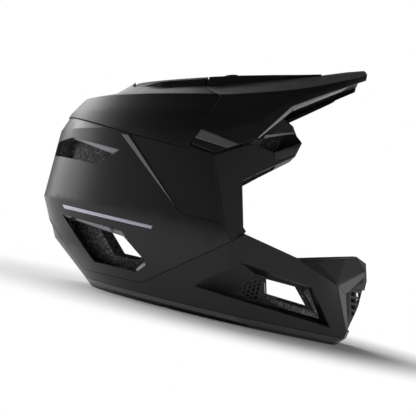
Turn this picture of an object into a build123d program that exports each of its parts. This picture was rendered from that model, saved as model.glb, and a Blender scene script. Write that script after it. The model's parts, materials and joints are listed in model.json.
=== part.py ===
"""A downhill full face helmet: shell, chin guard, tilting visor, foam liners, pads and chin strap.

Millimetres. +X is the way the wearer faces, +Z is up, and the helmet stands on its rim trim at Z = 0.
Outlines seen from the side are shares of the shell's length and height, and go right across the helmet.
"""

import os
from math import atan2, copysign, cos, pi, radians, sin

from build123d import *

os.makedirs("parts", exist_ok=True)

# Driving sizes of the shell
shell_length = 352.0
shell_height = 245.0
shell_width = 236.0
half_width = shell_width / 2
ring_power = 2.3
ring_points = 16

# Walls, steps and gaps
shell_wall = 3.6
crown_proud = 1.4
chin_step = 1.6
panel_depth = 0.9
channel_depth = 2.4
seat_gap = 0.3
seam_gap = 0.4
overrun = 60.0

# Rim and eyeport edging
rim_height = 8.2
rim_hole_front = 142.0
rim_hole_rear = -102.0
rim_hole_breadth = 84.5
rim_hole_power = 2.0
edging_width = 2.2
edging_reach = 9.0
edging_open_y = 70.0
edging_open_z = 150.0

# Forehead cover, which lies under the visor and tucks under the crown cover
forehead_wall = 3.0
tuck = 9.0

# Chin guard windows and the mouth vent
window_depth = 9.0
window_wall = 2.0
grille_hole = 2.1
grille_pitch = 4.3
grille_rows = 6
grille_border = 1.5
mouth_low = 16.0
mouth_high = 61.0
mouth_half_low = 37.0
mouth_half_high = 27.0
mouth_lap = 4.0
mouth_grille_wall = 2.0
mouth_slot_width = 8.0
mouth_slot_height = 4.2
mouth_slot_across = 5
mouth_slot_rows = 6
mouth_slot_bar = 2.4

# Foam liners
chin_hollow_front = 153.0
chin_hollow_breadth = 84.0
chin_hollow_power = 1.8
vent_pocket = 15.0
brow_pocket = 20.0
liner_seam_z = 100.0

# Pads
pad_gap = 0.5
cheek_pad_depth = 24.0
neck_roll_depth = 13.0
brow_pad_depth = 8.0
crown_pad_depth = 6.0
crown_pad_width = 24.0
crown_pad_spread = 40.0
snap_radius = 6.0
snap_depth = 4.0

# Chin strap
strap_x = -10.0
strap_width = 20.0
strap_thick = 1.6
strap_y = 79.5
strap_top = 66.0
strap_turn_z = 13.5
strap_floor_y = 62.0
strap_floor_z = 7.2
strap_bend = 8.0
strap_grip = 6.0
anchor_z = 56.0
anchor_head_radius = 8.0
anchor_head_thick = 1.6
anchor_shank_radius = 2.5
anchor_collar_radius = 5.0

# Buckle
buckle_width = 26.0
buckle_thick = 10.0
buckle_corner = 3.0
body_length = 22.0
tongue_head = 14.0
tongue_blade = 14.0
tongue_blade_width = 16.0
tongue_blade_thick = 3.0
buckle_gap = 0.4
slider_length = 8.0
slider_width = 10.0
slider_height = 3.6
slider_sunk = 1.6
slider_travel = 3.0
slider_y = -10.0
slider_play = 0.1
slider_corner = 1.2
slider_rib = 0.8
slider_ribs = 3

# Visor, its pivots and its lock
visor_wall = 2.2
visor_tilt = 8.0
pivot_x = -20.0
pivot_z = 168.5
stud_radius = 4.0
stud_fit = 0.06
stud_length = 4.0
boss_radius = 6.4
boss_gap = 0.8
pocket_y = 101.4
lock_x = -14.0
lock_head_radius = 7.5
lock_head_height = 3.6
lock_shank_radius = 2.4
lock_grips = 10
lock_grip_radius = 1.1
lock_gap = 0.3
slot_play = 0.6
lock_depth = 16.4
nut_radius = 5.5
nut_height = 3.2
nut_fit = 0.08

# The outer skin: each ring lies in a plane that holds the Y direction, from a rear point to a front point.
# Rear and front points in shares of length and height, half width in shares of half the width, then
# how much of an inset draws the ring in, and how much of it sinks the ring.
lower_ring_shares = [
    (-0.307, 0.000, 0.460, 0.000, 0.82, 1.00, 0.0),
    (-0.335, 0.035, 0.483, 0.035, 0.90, 1.00, 0.0),
    (-0.445, 0.163, 0.503, 0.175, 0.965, 1.00, 0.0),
    (-0.501, 0.325, 0.506, 0.357, 1.00, 1.00, 0.0),
    (-0.496, 0.607, 0.219, 0.805, 0.90, 0.95, 0.3),
]
upper_ring_shares = [
    (-0.475, 0.688, 0.188, 0.873, 0.815, 0.85, 0.5),
    (-0.446, 0.757, 0.085, 0.943, 0.67, 0.70, 0.8),
    (-0.369, 0.808, 0.043, 0.992, 0.40, 0.35, 1.0),
    (-0.312, 0.892, -0.026, 1.022, 0.18, 0.20, 1.0),
]
skin_ring_shares = lower_ring_shares + upper_ring_shares
# The forehead cover keeps lower on top, so that the visor can tilt over it
forehead_ring_shares = lower_ring_shares[-2:] + [
    (-0.475, 0.688, 0.188, 0.873, 0.815, 0.85, 0.5),
    (-0.446, 0.749, 0.108, 0.939, 0.655, 0.70, 0.8),
    (-0.369, 0.795, 0.055, 0.975, 0.39, 0.35, 1.0),
    (-0.312, 0.874, -0.020, 1.003, 0.18, 0.20, 1.0),
]
# The space for the head inside the foam liner
head_ring_shares = [
    (-0.255, -0.100, 0.300, -0.100, 0.66, 1.00, 0.0),
    (-0.300, 0.080, 0.300, 0.080, 0.70, 1.00, 0.0),
    (-0.410, 0.330, 0.210, 0.360, 0.735, 1.00, 0.0),
    (-0.405, 0.570, 0.125, 0.735, 0.69, 0.95, 0.3),
    (-0.345, 0.700, 0.050, 0.835, 0.46, 0.60, 0.9),
    (-0.270, 0.790, -0.030, 0.870, 0.20, 0.20, 1.0),
]

# Flat facets on the left side, each through three points, and mirrored for the right side
upper_facet_shares = [
    [(-0.024, 0.930, 0.603), (0.049, 0.990, 0.361), (0.056, 0.800, 0.570)],
    [(0.200, 0.000, 0.742), (0.200, 0.500, 0.742), (0.210, 0.000, 0.797)],
]
chin_facet_shares = [
    [(0.085, 0.958, 0.180), (0.404, 0.441, 0.250), (0.404, 0.441, 0.050)],
    [(0.404, 0.441, 0.254), (0.473, 0.322, 0.054), (0.5065, 0.000, 0.290)],
    [(0.318, 0.610, 0.300), (0.448, 0.212, 0.380), (0.404, 0.441, 0.254)],
]
window_plane_shares = [(-0.004, 0.930, 0.114), (0.330, 0.560, 0.214), (0.412, 0.420, 0.069)]

# Side outlines, in shares of length and height
eyeport_shares = [
    (0.055, 0.571),
    (0.089, 0.381),
    (0.104, 0.361),
    (0.279, 0.314),
    (0.448, 0.383),
    (0.500, 0.357),
    (0.600, 0.330),
    (0.600, 0.790),
    (0.203, 0.747),
    (0.111, 0.640),
]
crown_shares = [
    (-0.600, 0.665),
    (-0.466, 0.671),
    (-0.276, 0.645),
    (-0.120, 0.640),
    (-0.102, 0.652),
    (-0.030, 0.640),
    (0.066, 0.729),
    (0.132, 0.719),
    (0.210, 0.797),
    (0.300, 0.887),
    (0.300, 1.300),
    (-0.600, 1.300),
]
seam_shares = [
    (-0.102, 0.500),
    (-0.102, 0.658),
    (-0.053, 0.887),
    (-0.103, 0.925),
    (-0.108, 1.300),
    (-0.700, 1.300),
    (-0.700, 0.500),
]
forehead_shares = [
    (-0.102, 0.656),
    (-0.030, 0.648),
    (0.066, 0.742),
    (0.096, 0.767),
    (0.179, 0.828),
    (0.210, 0.810),
    (0.300, 0.900),
    (0.300, 1.300),
    (-0.400, 1.300),
    (-0.400, 0.656),
]
chin_shares = [
    (-0.600, -0.100),
    (-0.600, 0.247),
    (-0.480, 0.247),
    (-0.421, 0.187),
    (-0.318, 0.069),
    (-0.146, 0.076),
    (0.068, 0.318),
    (0.104, 0.366),
    (0.140, 0.480),
    (0.700, 0.480),
    (0.700, -0.100),
]
chin_foam_shares = [
    (0.102, -0.100),
    (0.102, 0.420),
    (0.700, 0.420),
    (0.700, -0.100),
]
panel_shares = [
    (-0.276, 0.700),
    (-0.276, 0.642),
    (-0.235, 0.590),
    (-0.099, 0.397),
    (-0.076, 0.380),
    (0.034, 0.378),
    (-0.025, 0.598),
    (-0.035, 0.700),
]
rear_vent_shares = [
    (-0.520, 0.500),
    (-0.520, 0.540),
    (-0.440, 0.584),
    (-0.289, 0.573),
    (-0.333, 0.518),
    (-0.352, 0.496),
]
rear_vent_bridge = 20.0
side_vent_shares = [
    (-0.414, 0.265),
    (-0.232, 0.261),
    (-0.139, 0.152),
    (-0.167, 0.113),
    (-0.292, 0.110),
]
side_vent_mouth_shares = [
    (-0.300, 0.246),
    (-0.235, 0.246),
    (-0.160, 0.170),
    (-0.178, 0.156),
    (-0.240, 0.156),
]
brow_vent_shares = [
    (0.084, 0.730),
    (0.096, 0.767),
    (0.179, 0.828),
    (0.300, 0.918),
    (0.300, 0.887),
    (0.210, 0.797),
    (0.132, 0.719),
]
window_shares = [
    (-0.004, 0.114),
    (0.111, 0.247),
    (0.330, 0.214),
    (0.412, 0.069),
]
window_floor_shares = [
    (0.100, 0.102),
    (0.160, 0.214),
    (0.325, 0.206),
    (0.368, 0.098),
]
window_hole_shares = [
    (0.212, 0.113),
    (0.194, 0.204),
    (0.318, 0.198),
    (0.356, 0.106),
]
grille_start_share = 0.177
grille_top_share = 0.194

# Pad outlines from the side
cheek_pad_shares = [
    (-0.120, 0.060),
    (-0.130, 0.290),
    (-0.060, 0.385),
    (0.058, 0.385),
    (0.092, 0.300),
    (0.092, 0.060),
]
neck_roll_shares = [
    (-0.500, 0.050),
    (-0.500, 0.215),
    (-0.330, 0.200),
    (-0.250, 0.140),
    (-0.250, 0.050),
]
brow_pad_shares = [
    (0.000, 0.600),
    (-0.040, 0.700),
    (0.100, 0.790),
    (0.300, 0.790),
    (0.300, 0.600),
]
crown_pad_shares = [
    (-0.330, 0.620),
    (-0.330, 1.000),
    (0.020, 1.000),
    (0.020, 0.780),
]
# The recess along the middle of the crown, seen from above, in shares of length and half width
channel_shares = [
    (-0.316, 0.19),
    (-0.225, 0.36),
    (-0.155, 0.38),
    (0.100, 0.39),
]

# Where the snaps of the cheek pads sit
snap_shares = [(-0.091, 0.270), (0.050, 0.290), (0.045, 0.105)]

# Visor sections from rear to front: place along the length, height of the middle, then width and height
# shares of the upper crease, the lower crease, two points on the side and the lower edge
visor_section_shares = [
    (-0.130, 0.978, 0.415, 0.913, 0.690, 0.866, 0.826, 0.784, 0.910, 0.708, 0.932, 0.664),
    (-0.030, 1.0205, 0.415, 0.9605, 0.690, 0.902, 0.820, 0.812, 0.890, 0.7365, 0.922, 0.6485),
    (0.077, 1.060, 0.403, 1.014, 0.680, 0.949, 0.770, 0.880, 0.800, 0.830, 0.820, 0.752),
    (0.150, 1.086, 0.373, 1.052, 0.660, 0.986, 0.690, 0.960, 0.705, 0.940, 0.715, 0.911),
    (0.227, 1.115, 0.339, 1.090, 0.602, 1.035, 0.618, 1.018, 0.625, 1.008, 0.630, 0.990),
    (0.295, 1.152, 0.310, 1.124, 0.525, 1.085, 0.533, 1.073, 0.536, 1.066, 0.540, 1.055),
    (0.346, 1.176, 0.270, 1.150, 0.420, 1.128, 0.426, 1.118, 0.428, 1.112, 0.430, 1.105),
]
# How far the visor's wall draws each of those corners in and down
visor_lean_shares = [(0.25, 0.95), (0.55, 0.80), (0.80, 0.55), (0.95, 0.25), (1.00, 0.00)]


def side(shares):
    """Side view points in millimetres."""
    return [(x * shell_length, z * shell_height) for x, z in shares]


def spot(x_share, y_share, z_share):
    """A point on the left side, from shares of length, half width and height."""
    return Vector(x_share * shell_length, y_share * half_width, z_share * shell_height)


def facet_plane(corner_shares, inset):
    """The plane of a facet, moved in by the inset, with its normal pointing out of the helmet."""
    a, b, c = [spot(*shares) for shares in corner_shares]
    normal = (b - a).cross(c - a).normalized()
    if normal.dot(a - spot(0, 0, 0.5)) < 0:
        normal = -normal
    return Plane(origin=a - normal * inset, z_dir=normal)


def mirrored_plane(plane):
    origin = plane.origin
    normal = plane.z_dir
    return Plane(origin=(origin.X, -origin.Y, origin.Z), z_dir=(normal.X, -normal.Y, normal.Z))


def curve_power(value, power):
    return copysign(abs(value) ** power, value)


def ring_sketch(shares, inset):
    """One closed ring: a soft-cornered oval in its own tilted plane."""
    rear_x, rear_z, front_x, front_z, width_share, draw, sink = shares
    rear = spot(rear_x, 0, rear_z)
    front = spot(front_x, 0, front_z)
    along = (front - rear).normalized()
    up = along.cross(Vector(0, 1, 0))
    plane = Plane(origin=(rear + front) / 2, x_dir=along, z_dir=up).offset(-inset * sink)
    half_length = (front - rear).length / 2 - inset * draw
    half_breadth = width_share * half_width - inset * draw
    points = []
    for i in range(ring_points):
        turn = 2 * pi * i / ring_points
        points.append((
            half_length * curve_power(cos(turn), 2 / ring_power),
            half_breadth * curve_power(sin(turn), 2 / ring_power),
        ))
    with BuildSketch(plane) as ring:
        with BuildLine():
            Spline(*points, periodic=True)
        make_face()
    return ring.sketch


def carve(body, facets, inset):
    """The body without what lies outside its facets, drawn in by the inset."""
    with BuildPart() as carved:
        add(body)
        for corner_shares in facets:
            plane = facet_plane(corner_shares, inset)
            split(bisect_by=plane, keep=Keep.BOTTOM)
            if plane.z_dir.Y > 0:
                split(bisect_by=mirrored_plane(plane), keep=Keep.BOTTOM)
    return carved.part


def skin(inset, rings=skin_ring_shares, facets=()):
    """The filled form inside a skin that runs straight from ring to ring, cut by its facets."""
    with BuildPart() as body:
        for shares in rings:
            add(ring_sketch(shares, inset))
        loft(ruled=True)
    return carve(body.part, facets, inset) if facets else body.part


def across(shares, grow=0.0, middle=0.0):
    """A side outline run right across the helmet, leaving out a band at the middle where one is named."""
    reach = half_width + overrun
    with BuildPart() as block:
        with BuildSketch(Plane.XZ):
            with BuildLine():
                Polyline(*side(shares), close=True)
            make_face()
            if grow:
                offset(amount=grow, kind=Kind.INTERSECTION)
        extrude(amount=reach, both=True)
        if middle:
            Box(4 * shell_length, 2 * middle, 4 * shell_height, mode=Mode.SUBTRACT)
    return block.part


def slab(low, high):
    """Everything between two heights."""
    with BuildPart() as block:
        with Locations((0, 0, (low + high) / 2)):
            Box(4 * shell_length, 4 * shell_width, high - low)
    return block.part


def meet(*bodies):
    """What all the bodies share."""
    with BuildPart() as body:
        add(bodies[0])
        for other in bodies[1:]:
            add(other, mode=Mode.INTERSECT)
    return body.part


def minus(first, *others):
    with BuildPart() as body:
        add(first)
        for other in others:
            add(other, mode=Mode.SUBTRACT)
    return body.part


def plus(*bodies):
    with BuildPart() as body:
        for other in bodies:
            add(other)
    return body.part


def flip(body):
    """The same form on the right side."""
    with BuildPart() as other:
        add(body)
        mirror(about=Plane.XZ, mode=Mode.REPLACE)
    return other.part


def shave(block, facets, inset):
    """The part of a block that lies outside the facets, drawn in by the inset."""
    return minus(block, carve(block, facets, inset))


def moved_back(body, distance):
    with BuildPart() as other:
        add(body.moved(Location((-distance, 0, 0))))
    return other.part


def oval_prism(rear_x, front_x, half_breadth, power, low, high):
    """An upright prism on a soft-cornered oval."""
    half_length = (front_x - rear_x) / 2
    points = []
    for i in range(ring_points):
        turn = 2 * pi * i / ring_points
        points.append((
            (rear_x + front_x) / 2 + half_length * curve_power(cos(turn), 2 / power),
            half_breadth * curve_power(sin(turn), 2 / power),
        ))
    with BuildPart() as prism:
        with BuildSketch(Plane.XY.offset(low)):
            with BuildLine():
                Spline(*points, periodic=True)
            make_face()
        extrude(amount=high - low)
    return prism.part


def save(block, name):
    block.part.label = name
    export_step(block.part, "parts/" + name + ".step")


# Forms that several pieces share
shell_base = rim_height + seam_gap
sky = 2 * shell_height
foam_inset = shell_wall + seat_gap
forehead_under = foam_inset + forehead_wall
foam_seat = skin(foam_inset)
upper_skin_rings = skin_ring_shares[1:7]
chin_outer = skin(chin_step, lower_ring_shares, chin_facet_shares)
chin_seat = skin(foam_inset, lower_ring_shares, chin_facet_shares)
head_space = skin(0, head_ring_shares)
eyeport = across(eyeport_shares)
side_vent = across(side_vent_shares, middle=rear_vent_bridge)
rear_vent = across(rear_vent_shares, middle=rear_vent_bridge)
brow_vent = across(brow_vent_shares)


def plane_points(plane, shares):
    """A side outline laid on a slanting plane, so that it still looks the same from the side."""
    points = []
    origin, normal = plane.origin, plane.z_dir
    for x, z in side(shares):
        y = origin.Y - ((x - origin.X) * normal.X + (z - origin.Z) * normal.Z) / normal.Y
        local = plane.to_local_coords(Vector(x, y, z))
        points.append((local.X, local.Y))
    return points


def plane_face(plane, shares, grow=0.0):
    with BuildSketch(plane) as face:
        with BuildLine():
            Polyline(*plane_points(plane, shares), close=True)
        make_face()
        if grow:
            offset(amount=grow, kind=Kind.INTERSECTION)
    return face.sketch


window_plane = facet_plane(window_plane_shares, 0)
window_floor_plane = facet_plane(window_plane_shares, window_depth)


def window_form(grow, floor_drop):
    """The sunk window of the chin guard: straight out from its plane, and tapering in to its floor."""
    floor_plane = window_floor_plane.offset(-floor_drop)
    with BuildPart() as form:
        extrude(plane_face(window_plane, window_shares, grow), amount=overrun, dir=(0, 1, 0))
    with BuildPart() as taper:
        add(plane_face(window_plane, window_shares, grow))
        add(plane_face(floor_plane, window_floor_shares, grow))
        loft(ruled=True)
    return plus(form.part, taper.part)


window_cut = window_form(0, 0)
window_outside = window_form(window_wall, window_wall)
window_cuts = plus(window_outside, flip(window_outside))
with BuildPart() as window_hole:
    extrude(plane_face(window_plane, window_hole_shares), amount=overrun, dir=(0, -1, 0))


def mouth_form(lap):
    """The block of the mouth opening, drawn out by a lap and run out forward."""
    with BuildPart() as block:
        with BuildSketch(Plane.YZ):
            with BuildLine():
                Polyline(
                    (-mouth_half_low, mouth_low),
                    (mouth_half_low, mouth_low),
                    (mouth_half_high, mouth_high),
                    (-mouth_half_high, mouth_high),
                    close=True,
                )
            make_face()
            if lap:
                offset(amount=lap, kind=Kind.INTERSECTION)
        extrude(amount=shell_length)
    return block.part


mouth_block = mouth_form(0)
mouth_seat_block = mouth_form(mouth_lap)

# Outer shell from the crown line down to the step above the chin guard
with BuildPart() as upper_shell:
    add(skin(0, upper_skin_rings, upper_facet_shares))
    add(skin(shell_wall, upper_skin_rings, upper_facet_shares), mode=Mode.SUBTRACT)
    add(across(crown_shares), mode=Mode.SUBTRACT)
    add(across(chin_shares), mode=Mode.SUBTRACT)
    add(eyeport, mode=Mode.SUBTRACT)
    add(side_vent, mode=Mode.SUBTRACT)
    add(rear_vent, mode=Mode.SUBTRACT)
    add(minus(across(panel_shares), skin(panel_depth)), mode=Mode.SUBTRACT)
save(upper_shell, "upper_shell")

# Crown cover, standing a little proud, with the long recess on top
with BuildPart() as channel_block:
    with BuildSketch():
        with BuildLine():
            left = [(x * shell_length, y * half_width) for x, y in channel_shares]
            right = [(x, -y) for x, y in reversed(left)]
            Polyline(*left, *right, close=True)
        make_face()
    extrude(amount=sky)
with BuildPart() as crown_cover:
    add(minus(skin(-crown_proud), skin(shell_wall)))
    add(across(crown_shares, -seam_gap), mode=Mode.INTERSECT)
    add(across(seam_shares, -seam_gap), mode=Mode.INTERSECT)
    add(minus(channel_block.part, skin(channel_depth - crown_proud)), mode=Mode.SUBTRACT)
save(crown_cover, "crown_cover")

# Forehead cover, under the visor, with a flat pocket at each pivot
tucked_seam = across([(x - tuck / shell_length, z) for x, z in seam_shares])


def along_y(radius, x, z, start, end):
    """A rod along Y on the left side, from one distance off the middle to another."""
    with BuildPart() as rod:
        with BuildSketch(Plane.XZ.offset(-start)):
            with Locations((x, z)):
                Circle(radius)
        extrude(amount=start - end)
    return rod.part


def pivot_rod(radius, start, end):
    return along_y(radius, pivot_x, pivot_z, start, end)


pivot_pocket = pivot_rod(boss_radius + boss_gap, pocket_y, half_width + overrun)
rear_section, next_section = [spot(shares[0], 0, shares[1]) for shares in visor_section_shares[:2]]
roof_run = next_section - rear_section
roof_tilt = atan2(roof_run.Z, roof_run.X)
lock_seat_z = rear_section.Z + (lock_x - rear_section.X) * roof_run.Z / roof_run.X + lock_gap
lock_plane = Plane(
    origin=(lock_x, 0, lock_seat_z),
    x_dir=(cos(roof_tilt), 0, sin(roof_tilt)),
    z_dir=(-sin(roof_tilt), 0, cos(roof_tilt)),
)


def lock_rod(radius, start, end):
    """A rod along the lock screw's axis, measured down from the underside of its head."""
    with BuildPart() as rod:
        with BuildSketch(lock_plane.offset(-start)):
            Circle(radius)
        extrude(amount=start - end)
    return rod.part


with BuildPart() as forehead_cover:
    add(skin(foam_inset, forehead_ring_shares, upper_facet_shares))
    add(skin(forehead_under, forehead_ring_shares, upper_facet_shares), mode=Mode.SUBTRACT)
    add(tucked_seam, mode=Mode.SUBTRACT)
    add(across(forehead_shares, -seam_gap), mode=Mode.INTERSECT)
    add(pivot_pocket, mode=Mode.SUBTRACT)
    add(flip(pivot_pocket), mode=Mode.SUBTRACT)
    add(lock_rod(lock_shank_radius + nut_fit, 0, overrun), mode=Mode.SUBTRACT)
save(forehead_cover, "forehead_cover")

# Grille seats: holes in the window floors, behind their see-through part
grille_corner_shares = window_floor_shares[:2] + window_hole_shares[1::-1]
grille_seat = minus(across(grille_corner_shares, -grille_border), slab(-sky, 0))

# Chin guard: lower shell, chin bar and muzzle in one moulding, with the window surrounds
below_guard = slab(-sky, shell_base)
window_surround = meet(minus(window_outside, window_cut, below_guard, grille_seat), chin_outer)
with BuildPart() as chin_guard:
    add(minus(chin_outer, skin(shell_wall, lower_ring_shares, chin_facet_shares)))
    add(across(chin_shares, -seam_gap), mode=Mode.INTERSECT)
    add(below_guard, mode=Mode.SUBTRACT)
    add(eyeport, mode=Mode.SUBTRACT)
    add(mouth_block, mode=Mode.SUBTRACT)
    add(window_cut, mode=Mode.SUBTRACT)
    add(flip(window_cut), mode=Mode.SUBTRACT)
    add(window_surround)
    add(flip(window_surround))
    add(window_hole.part, mode=Mode.SUBTRACT)
    add(flip(window_hole.part), mode=Mode.SUBTRACT)
save(chin_guard, "chin_guard")

# Window grilles: plates in the seats, pierced with rows of small triangles
with BuildPart() as grille_block:
    with BuildSketch(Plane.XZ):
        with BuildLine():
            Polyline(*side(grille_corner_shares), close=True)
        make_face()
        offset(amount=-grille_border - seat_gap, kind=Kind.INTERSECTION)
        for row in range(grille_rows):
            for column in range(row + 1):
                hole_x = grille_start_share * shell_length - column * grille_pitch
                hole_z = grille_top_share * shell_height - row * grille_pitch + column * grille_pitch / 2
                with Locations((hole_x, hole_z)):
                    RegularPolygon(grille_hole, 3, rotation=90, mode=Mode.SUBTRACT)
    extrude(amount=-shell_width)
with BuildPart() as floor_plate:
    extrude(plane_face(window_floor_plane, window_shares), amount=window_wall, dir=-window_plane.z_dir)
with BuildPart() as window_grille_left:
    add(meet(grille_block.part, floor_plate.part))
save(window_grille_left, "window_grille_left")
with BuildPart() as window_grille_right:
    add(flip(window_grille_left.part))
save(window_grille_right, "window_grille_right")

# Mouth grille: a slotted plate behind the opening in the muzzle
mouth_core = meet(chin_seat, mouth_seat_block)
slot_step_y = mouth_slot_width + mouth_slot_bar
slot_step_z = mouth_slot_height + mouth_slot_bar
mouth_slot_spots = [
    (
        shell_length / 2,
        (place - (mouth_slot_across - 1) / 2) * slot_step_y,
        (mouth_low + mouth_high) / 2 + (row - (mouth_slot_rows - 1) / 2) * slot_step_z,
    )
    for place in range(mouth_slot_across)
    for row in range(mouth_slot_rows)
]
with BuildPart() as mouth_grille:
    add(minus(mouth_core, moved_back(mouth_core, mouth_grille_wall)))
    with Locations(*mouth_slot_spots):
        Box(shell_length / 2, mouth_slot_width, mouth_slot_height, mode=Mode.SUBTRACT)
save(mouth_grille, "mouth_grille")

# Rim trim: the thick edging that the helmet stands on
rim_hole = oval_prism(rim_hole_rear, rim_hole_front, rim_hole_breadth, rim_hole_power, -overrun, overrun)
with BuildPart() as rim_trim:
    add(minus(meet(chin_outer, slab(0, rim_height)), rim_hole))
save(rim_trim, "rim_trim")

# Eyeport edging: a strip inside the cut edge of the shell, over the pillars and the brow
with BuildPart() as edging_open:
    with Locations((0, 0, edging_open_z - shell_height)):
        Box(4 * shell_length, 2 * edging_open_y, 2 * shell_height)
edging_band = minus(
    eyeport,
    across(eyeport_shares, -edging_width),
    across(chin_shares, seam_gap),
    edging_open.part,
)
with BuildPart() as eyeport_trim:
    add(carve(edging_band, upper_facet_shares, 0))
    add(carve(edging_band, upper_facet_shares, shell_wall + edging_reach), mode=Mode.SUBTRACT)
save(eyeport_trim, "eyeport_trim")

# Pads, each lying a little clear of the foam that carries it
pad_space = skin(pad_gap, head_ring_shares)


def pad_layer(depth):
    """The layer inside the foam where a pad of this depth lies."""
    return minus(pad_space, skin(pad_gap + depth, head_ring_shares))


with BuildPart() as left_block:
    with Locations((0, shell_width, 0)):
        Box(4 * shell_length, 2 * shell_width, 4 * shell_height)


# Strap lies in this slot between the cheek pad and the foam
strap_slot_y = strap_y - strap_thick / 2 - anchor_head_thick - pad_gap
with BuildPart() as strap_slot:
    with Locations((strap_x, strap_slot_y + half_width / 2, shell_height / 4)):
        Box(strap_width + 2 * pad_gap, half_width, shell_height)

snap_spots = [(snap_x * shell_length, snap_z * shell_height) for snap_x, snap_z in snap_shares]
snap_rods = plus(*[
    minus(along_y(snap_radius, x, z, 0, half_width), skin(snap_depth / 2, head_ring_shares))
    for x, z in snap_spots
])
snap_bores = plus(*[along_y(snap_radius + seat_gap, x, z, 0, half_width) for x, z in snap_spots])
snap_room = minus(snap_bores, skin(snap_depth / 2 + seat_gap, head_ring_shares))
snap_reach = skin(-snap_depth / 2, head_ring_shares)
snap_reach_room = skin(-snap_depth / 2 - seat_gap, head_ring_shares)
with BuildPart() as pad_snaps_half:
    add(meet(snap_rods, snap_reach))
with BuildPart() as pad_snaps:
    add(plus(pad_snaps_half.part, flip(pad_snaps_half.part)))
save(pad_snaps, "pad_snaps")

with BuildPart() as cheek_pad_left:
    add(meet(pad_layer(cheek_pad_depth), across(cheek_pad_shares), left_block.part))
    add(strap_slot.part, mode=Mode.SUBTRACT)
    add(snap_room, mode=Mode.SUBTRACT)
save(cheek_pad_left, "cheek_pad_left")
with BuildPart() as cheek_pad_right:
    add(flip(cheek_pad_left.part))
save(cheek_pad_right, "cheek_pad_right")

with BuildPart() as neck_roll:
    add(meet(pad_layer(neck_roll_depth), across(neck_roll_shares)))
save(neck_roll, "neck_roll")

with BuildPart() as brow_pad:
    add(meet(pad_layer(brow_pad_depth), across(brow_pad_shares)))
    add(across(eyeport_shares, edging_width + pad_gap), mode=Mode.SUBTRACT)
save(brow_pad, "brow_pad")

with BuildPart() as crown_strips:
    with Locations(*[(0, place, shell_height) for place in (-crown_pad_spread, 0, crown_pad_spread)]):
        Box(4 * shell_length, crown_pad_width, 2 * shell_height)
with BuildPart() as crown_pads:
    add(meet(pad_layer(crown_pad_depth), across(crown_pad_shares), crown_strips.part))
save(crown_pads, "crown_pads")

# Chin strap: down from its anchor between pad and foam, then in along the bottom to the buckle
def strap(end_y):
    """The left strap, ending at a distance from the middle."""
    with BuildPart() as band:
        with BuildSketch(Plane.YZ.offset(strap_x - strap_width / 2)):
            with BuildLine():
                FilletPolyline(
                    (strap_y, strap_top),
                    (strap_y, strap_turn_z),
                    (strap_floor_y, strap_floor_z),
                    (end_y, strap_floor_z),
                    radius=strap_bend,
                )
            trace(line_width=strap_thick)
        extrude(amount=strap_width)
        add(along_y(anchor_shank_radius + seat_gap, strap_x, anchor_z, 0, half_width), mode=Mode.SUBTRACT)
    return band.part


with BuildPart() as strap_left:
    add(strap(tongue_head - strap_grip))
save(strap_left, "strap_left")
with BuildPart() as strap_right:
    add(flip(strap(body_length - strap_grip)))
save(strap_right, "strap_right")

# Strap anchors: headed studs from the strap out through the foam to the inside of the shell
strap_inside_y = strap_y - strap_thick / 2
strap_outside_y = strap_y + strap_thick / 2
with BuildPart() as anchor_left:
    add(along_y(anchor_head_radius, strap_x, anchor_z, strap_inside_y - anchor_head_thick, strap_inside_y))
    add(meet(along_y(anchor_shank_radius, strap_x, anchor_z, strap_inside_y, half_width), foam_seat))
    add(meet(
        along_y(anchor_collar_radius, strap_x, anchor_z, strap_outside_y, half_width),
        skin(seat_gap, head_ring_shares),
    ))
with BuildPart() as strap_anchors:
    add(plus(anchor_left.part, flip(anchor_left.part)))
save(strap_anchors, "strap_anchors")

# Buckle: a body on the right strap, a tongue on the left strap, and a slider that lets the tongue go
body_top = strap_floor_z + buckle_thick / 2
with BuildPart() as buckle_body:
    with Locations((strap_x, -body_length / 2, strap_floor_z)):
        Box(buckle_width, body_length, buckle_thick)
    fillet(buckle_body.edges().filter_by(Axis.Z), buckle_corner)
    with Locations((strap_x, -(tongue_blade + buckle_gap) / 2, strap_floor_z)):
        Box(
            tongue_blade_width + 2 * buckle_gap,
            tongue_blade + buckle_gap,
            tongue_blade_thick + 2 * buckle_gap,
            mode=Mode.SUBTRACT,
        )
    with Locations((strap_x, -body_length + (strap_grip + seat_gap) / 2, strap_floor_z)):
        Box(strap_width + 2 * seat_gap, strap_grip + seat_gap, strap_thick + 2 * seat_gap, mode=Mode.SUBTRACT)
    with Locations((strap_x, slider_y + slider_travel / 2, body_top - slider_sunk / 2)):
        Box(
            slider_width + 2 * slider_play,
            slider_length + slider_travel + 2 * slider_play,
            slider_sunk,
            mode=Mode.SUBTRACT,
        )
save(buckle_body, "buckle_body")

with BuildPart() as buckle_tongue:
    with Locations((strap_x, buckle_gap + tongue_head / 2, strap_floor_z)):
        Box(buckle_width, tongue_head, buckle_thick)
    fillet(buckle_tongue.edges().filter_by(Axis.Z), buckle_corner)
    with Locations((strap_x, buckle_gap + tongue_head - strap_grip / 2, strap_floor_z)):
        Box(strap_width + 2 * seat_gap, strap_grip + 2 * buckle_gap, strap_thick + 2 * seat_gap,
            mode=Mode.SUBTRACT)
    with Locations((strap_x, (buckle_gap - tongue_blade) / 2, strap_floor_z)):
        Box(tongue_blade_width, tongue_blade + buckle_gap, tongue_blade_thick)
save(buckle_tongue, "buckle_tongue")

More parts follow.
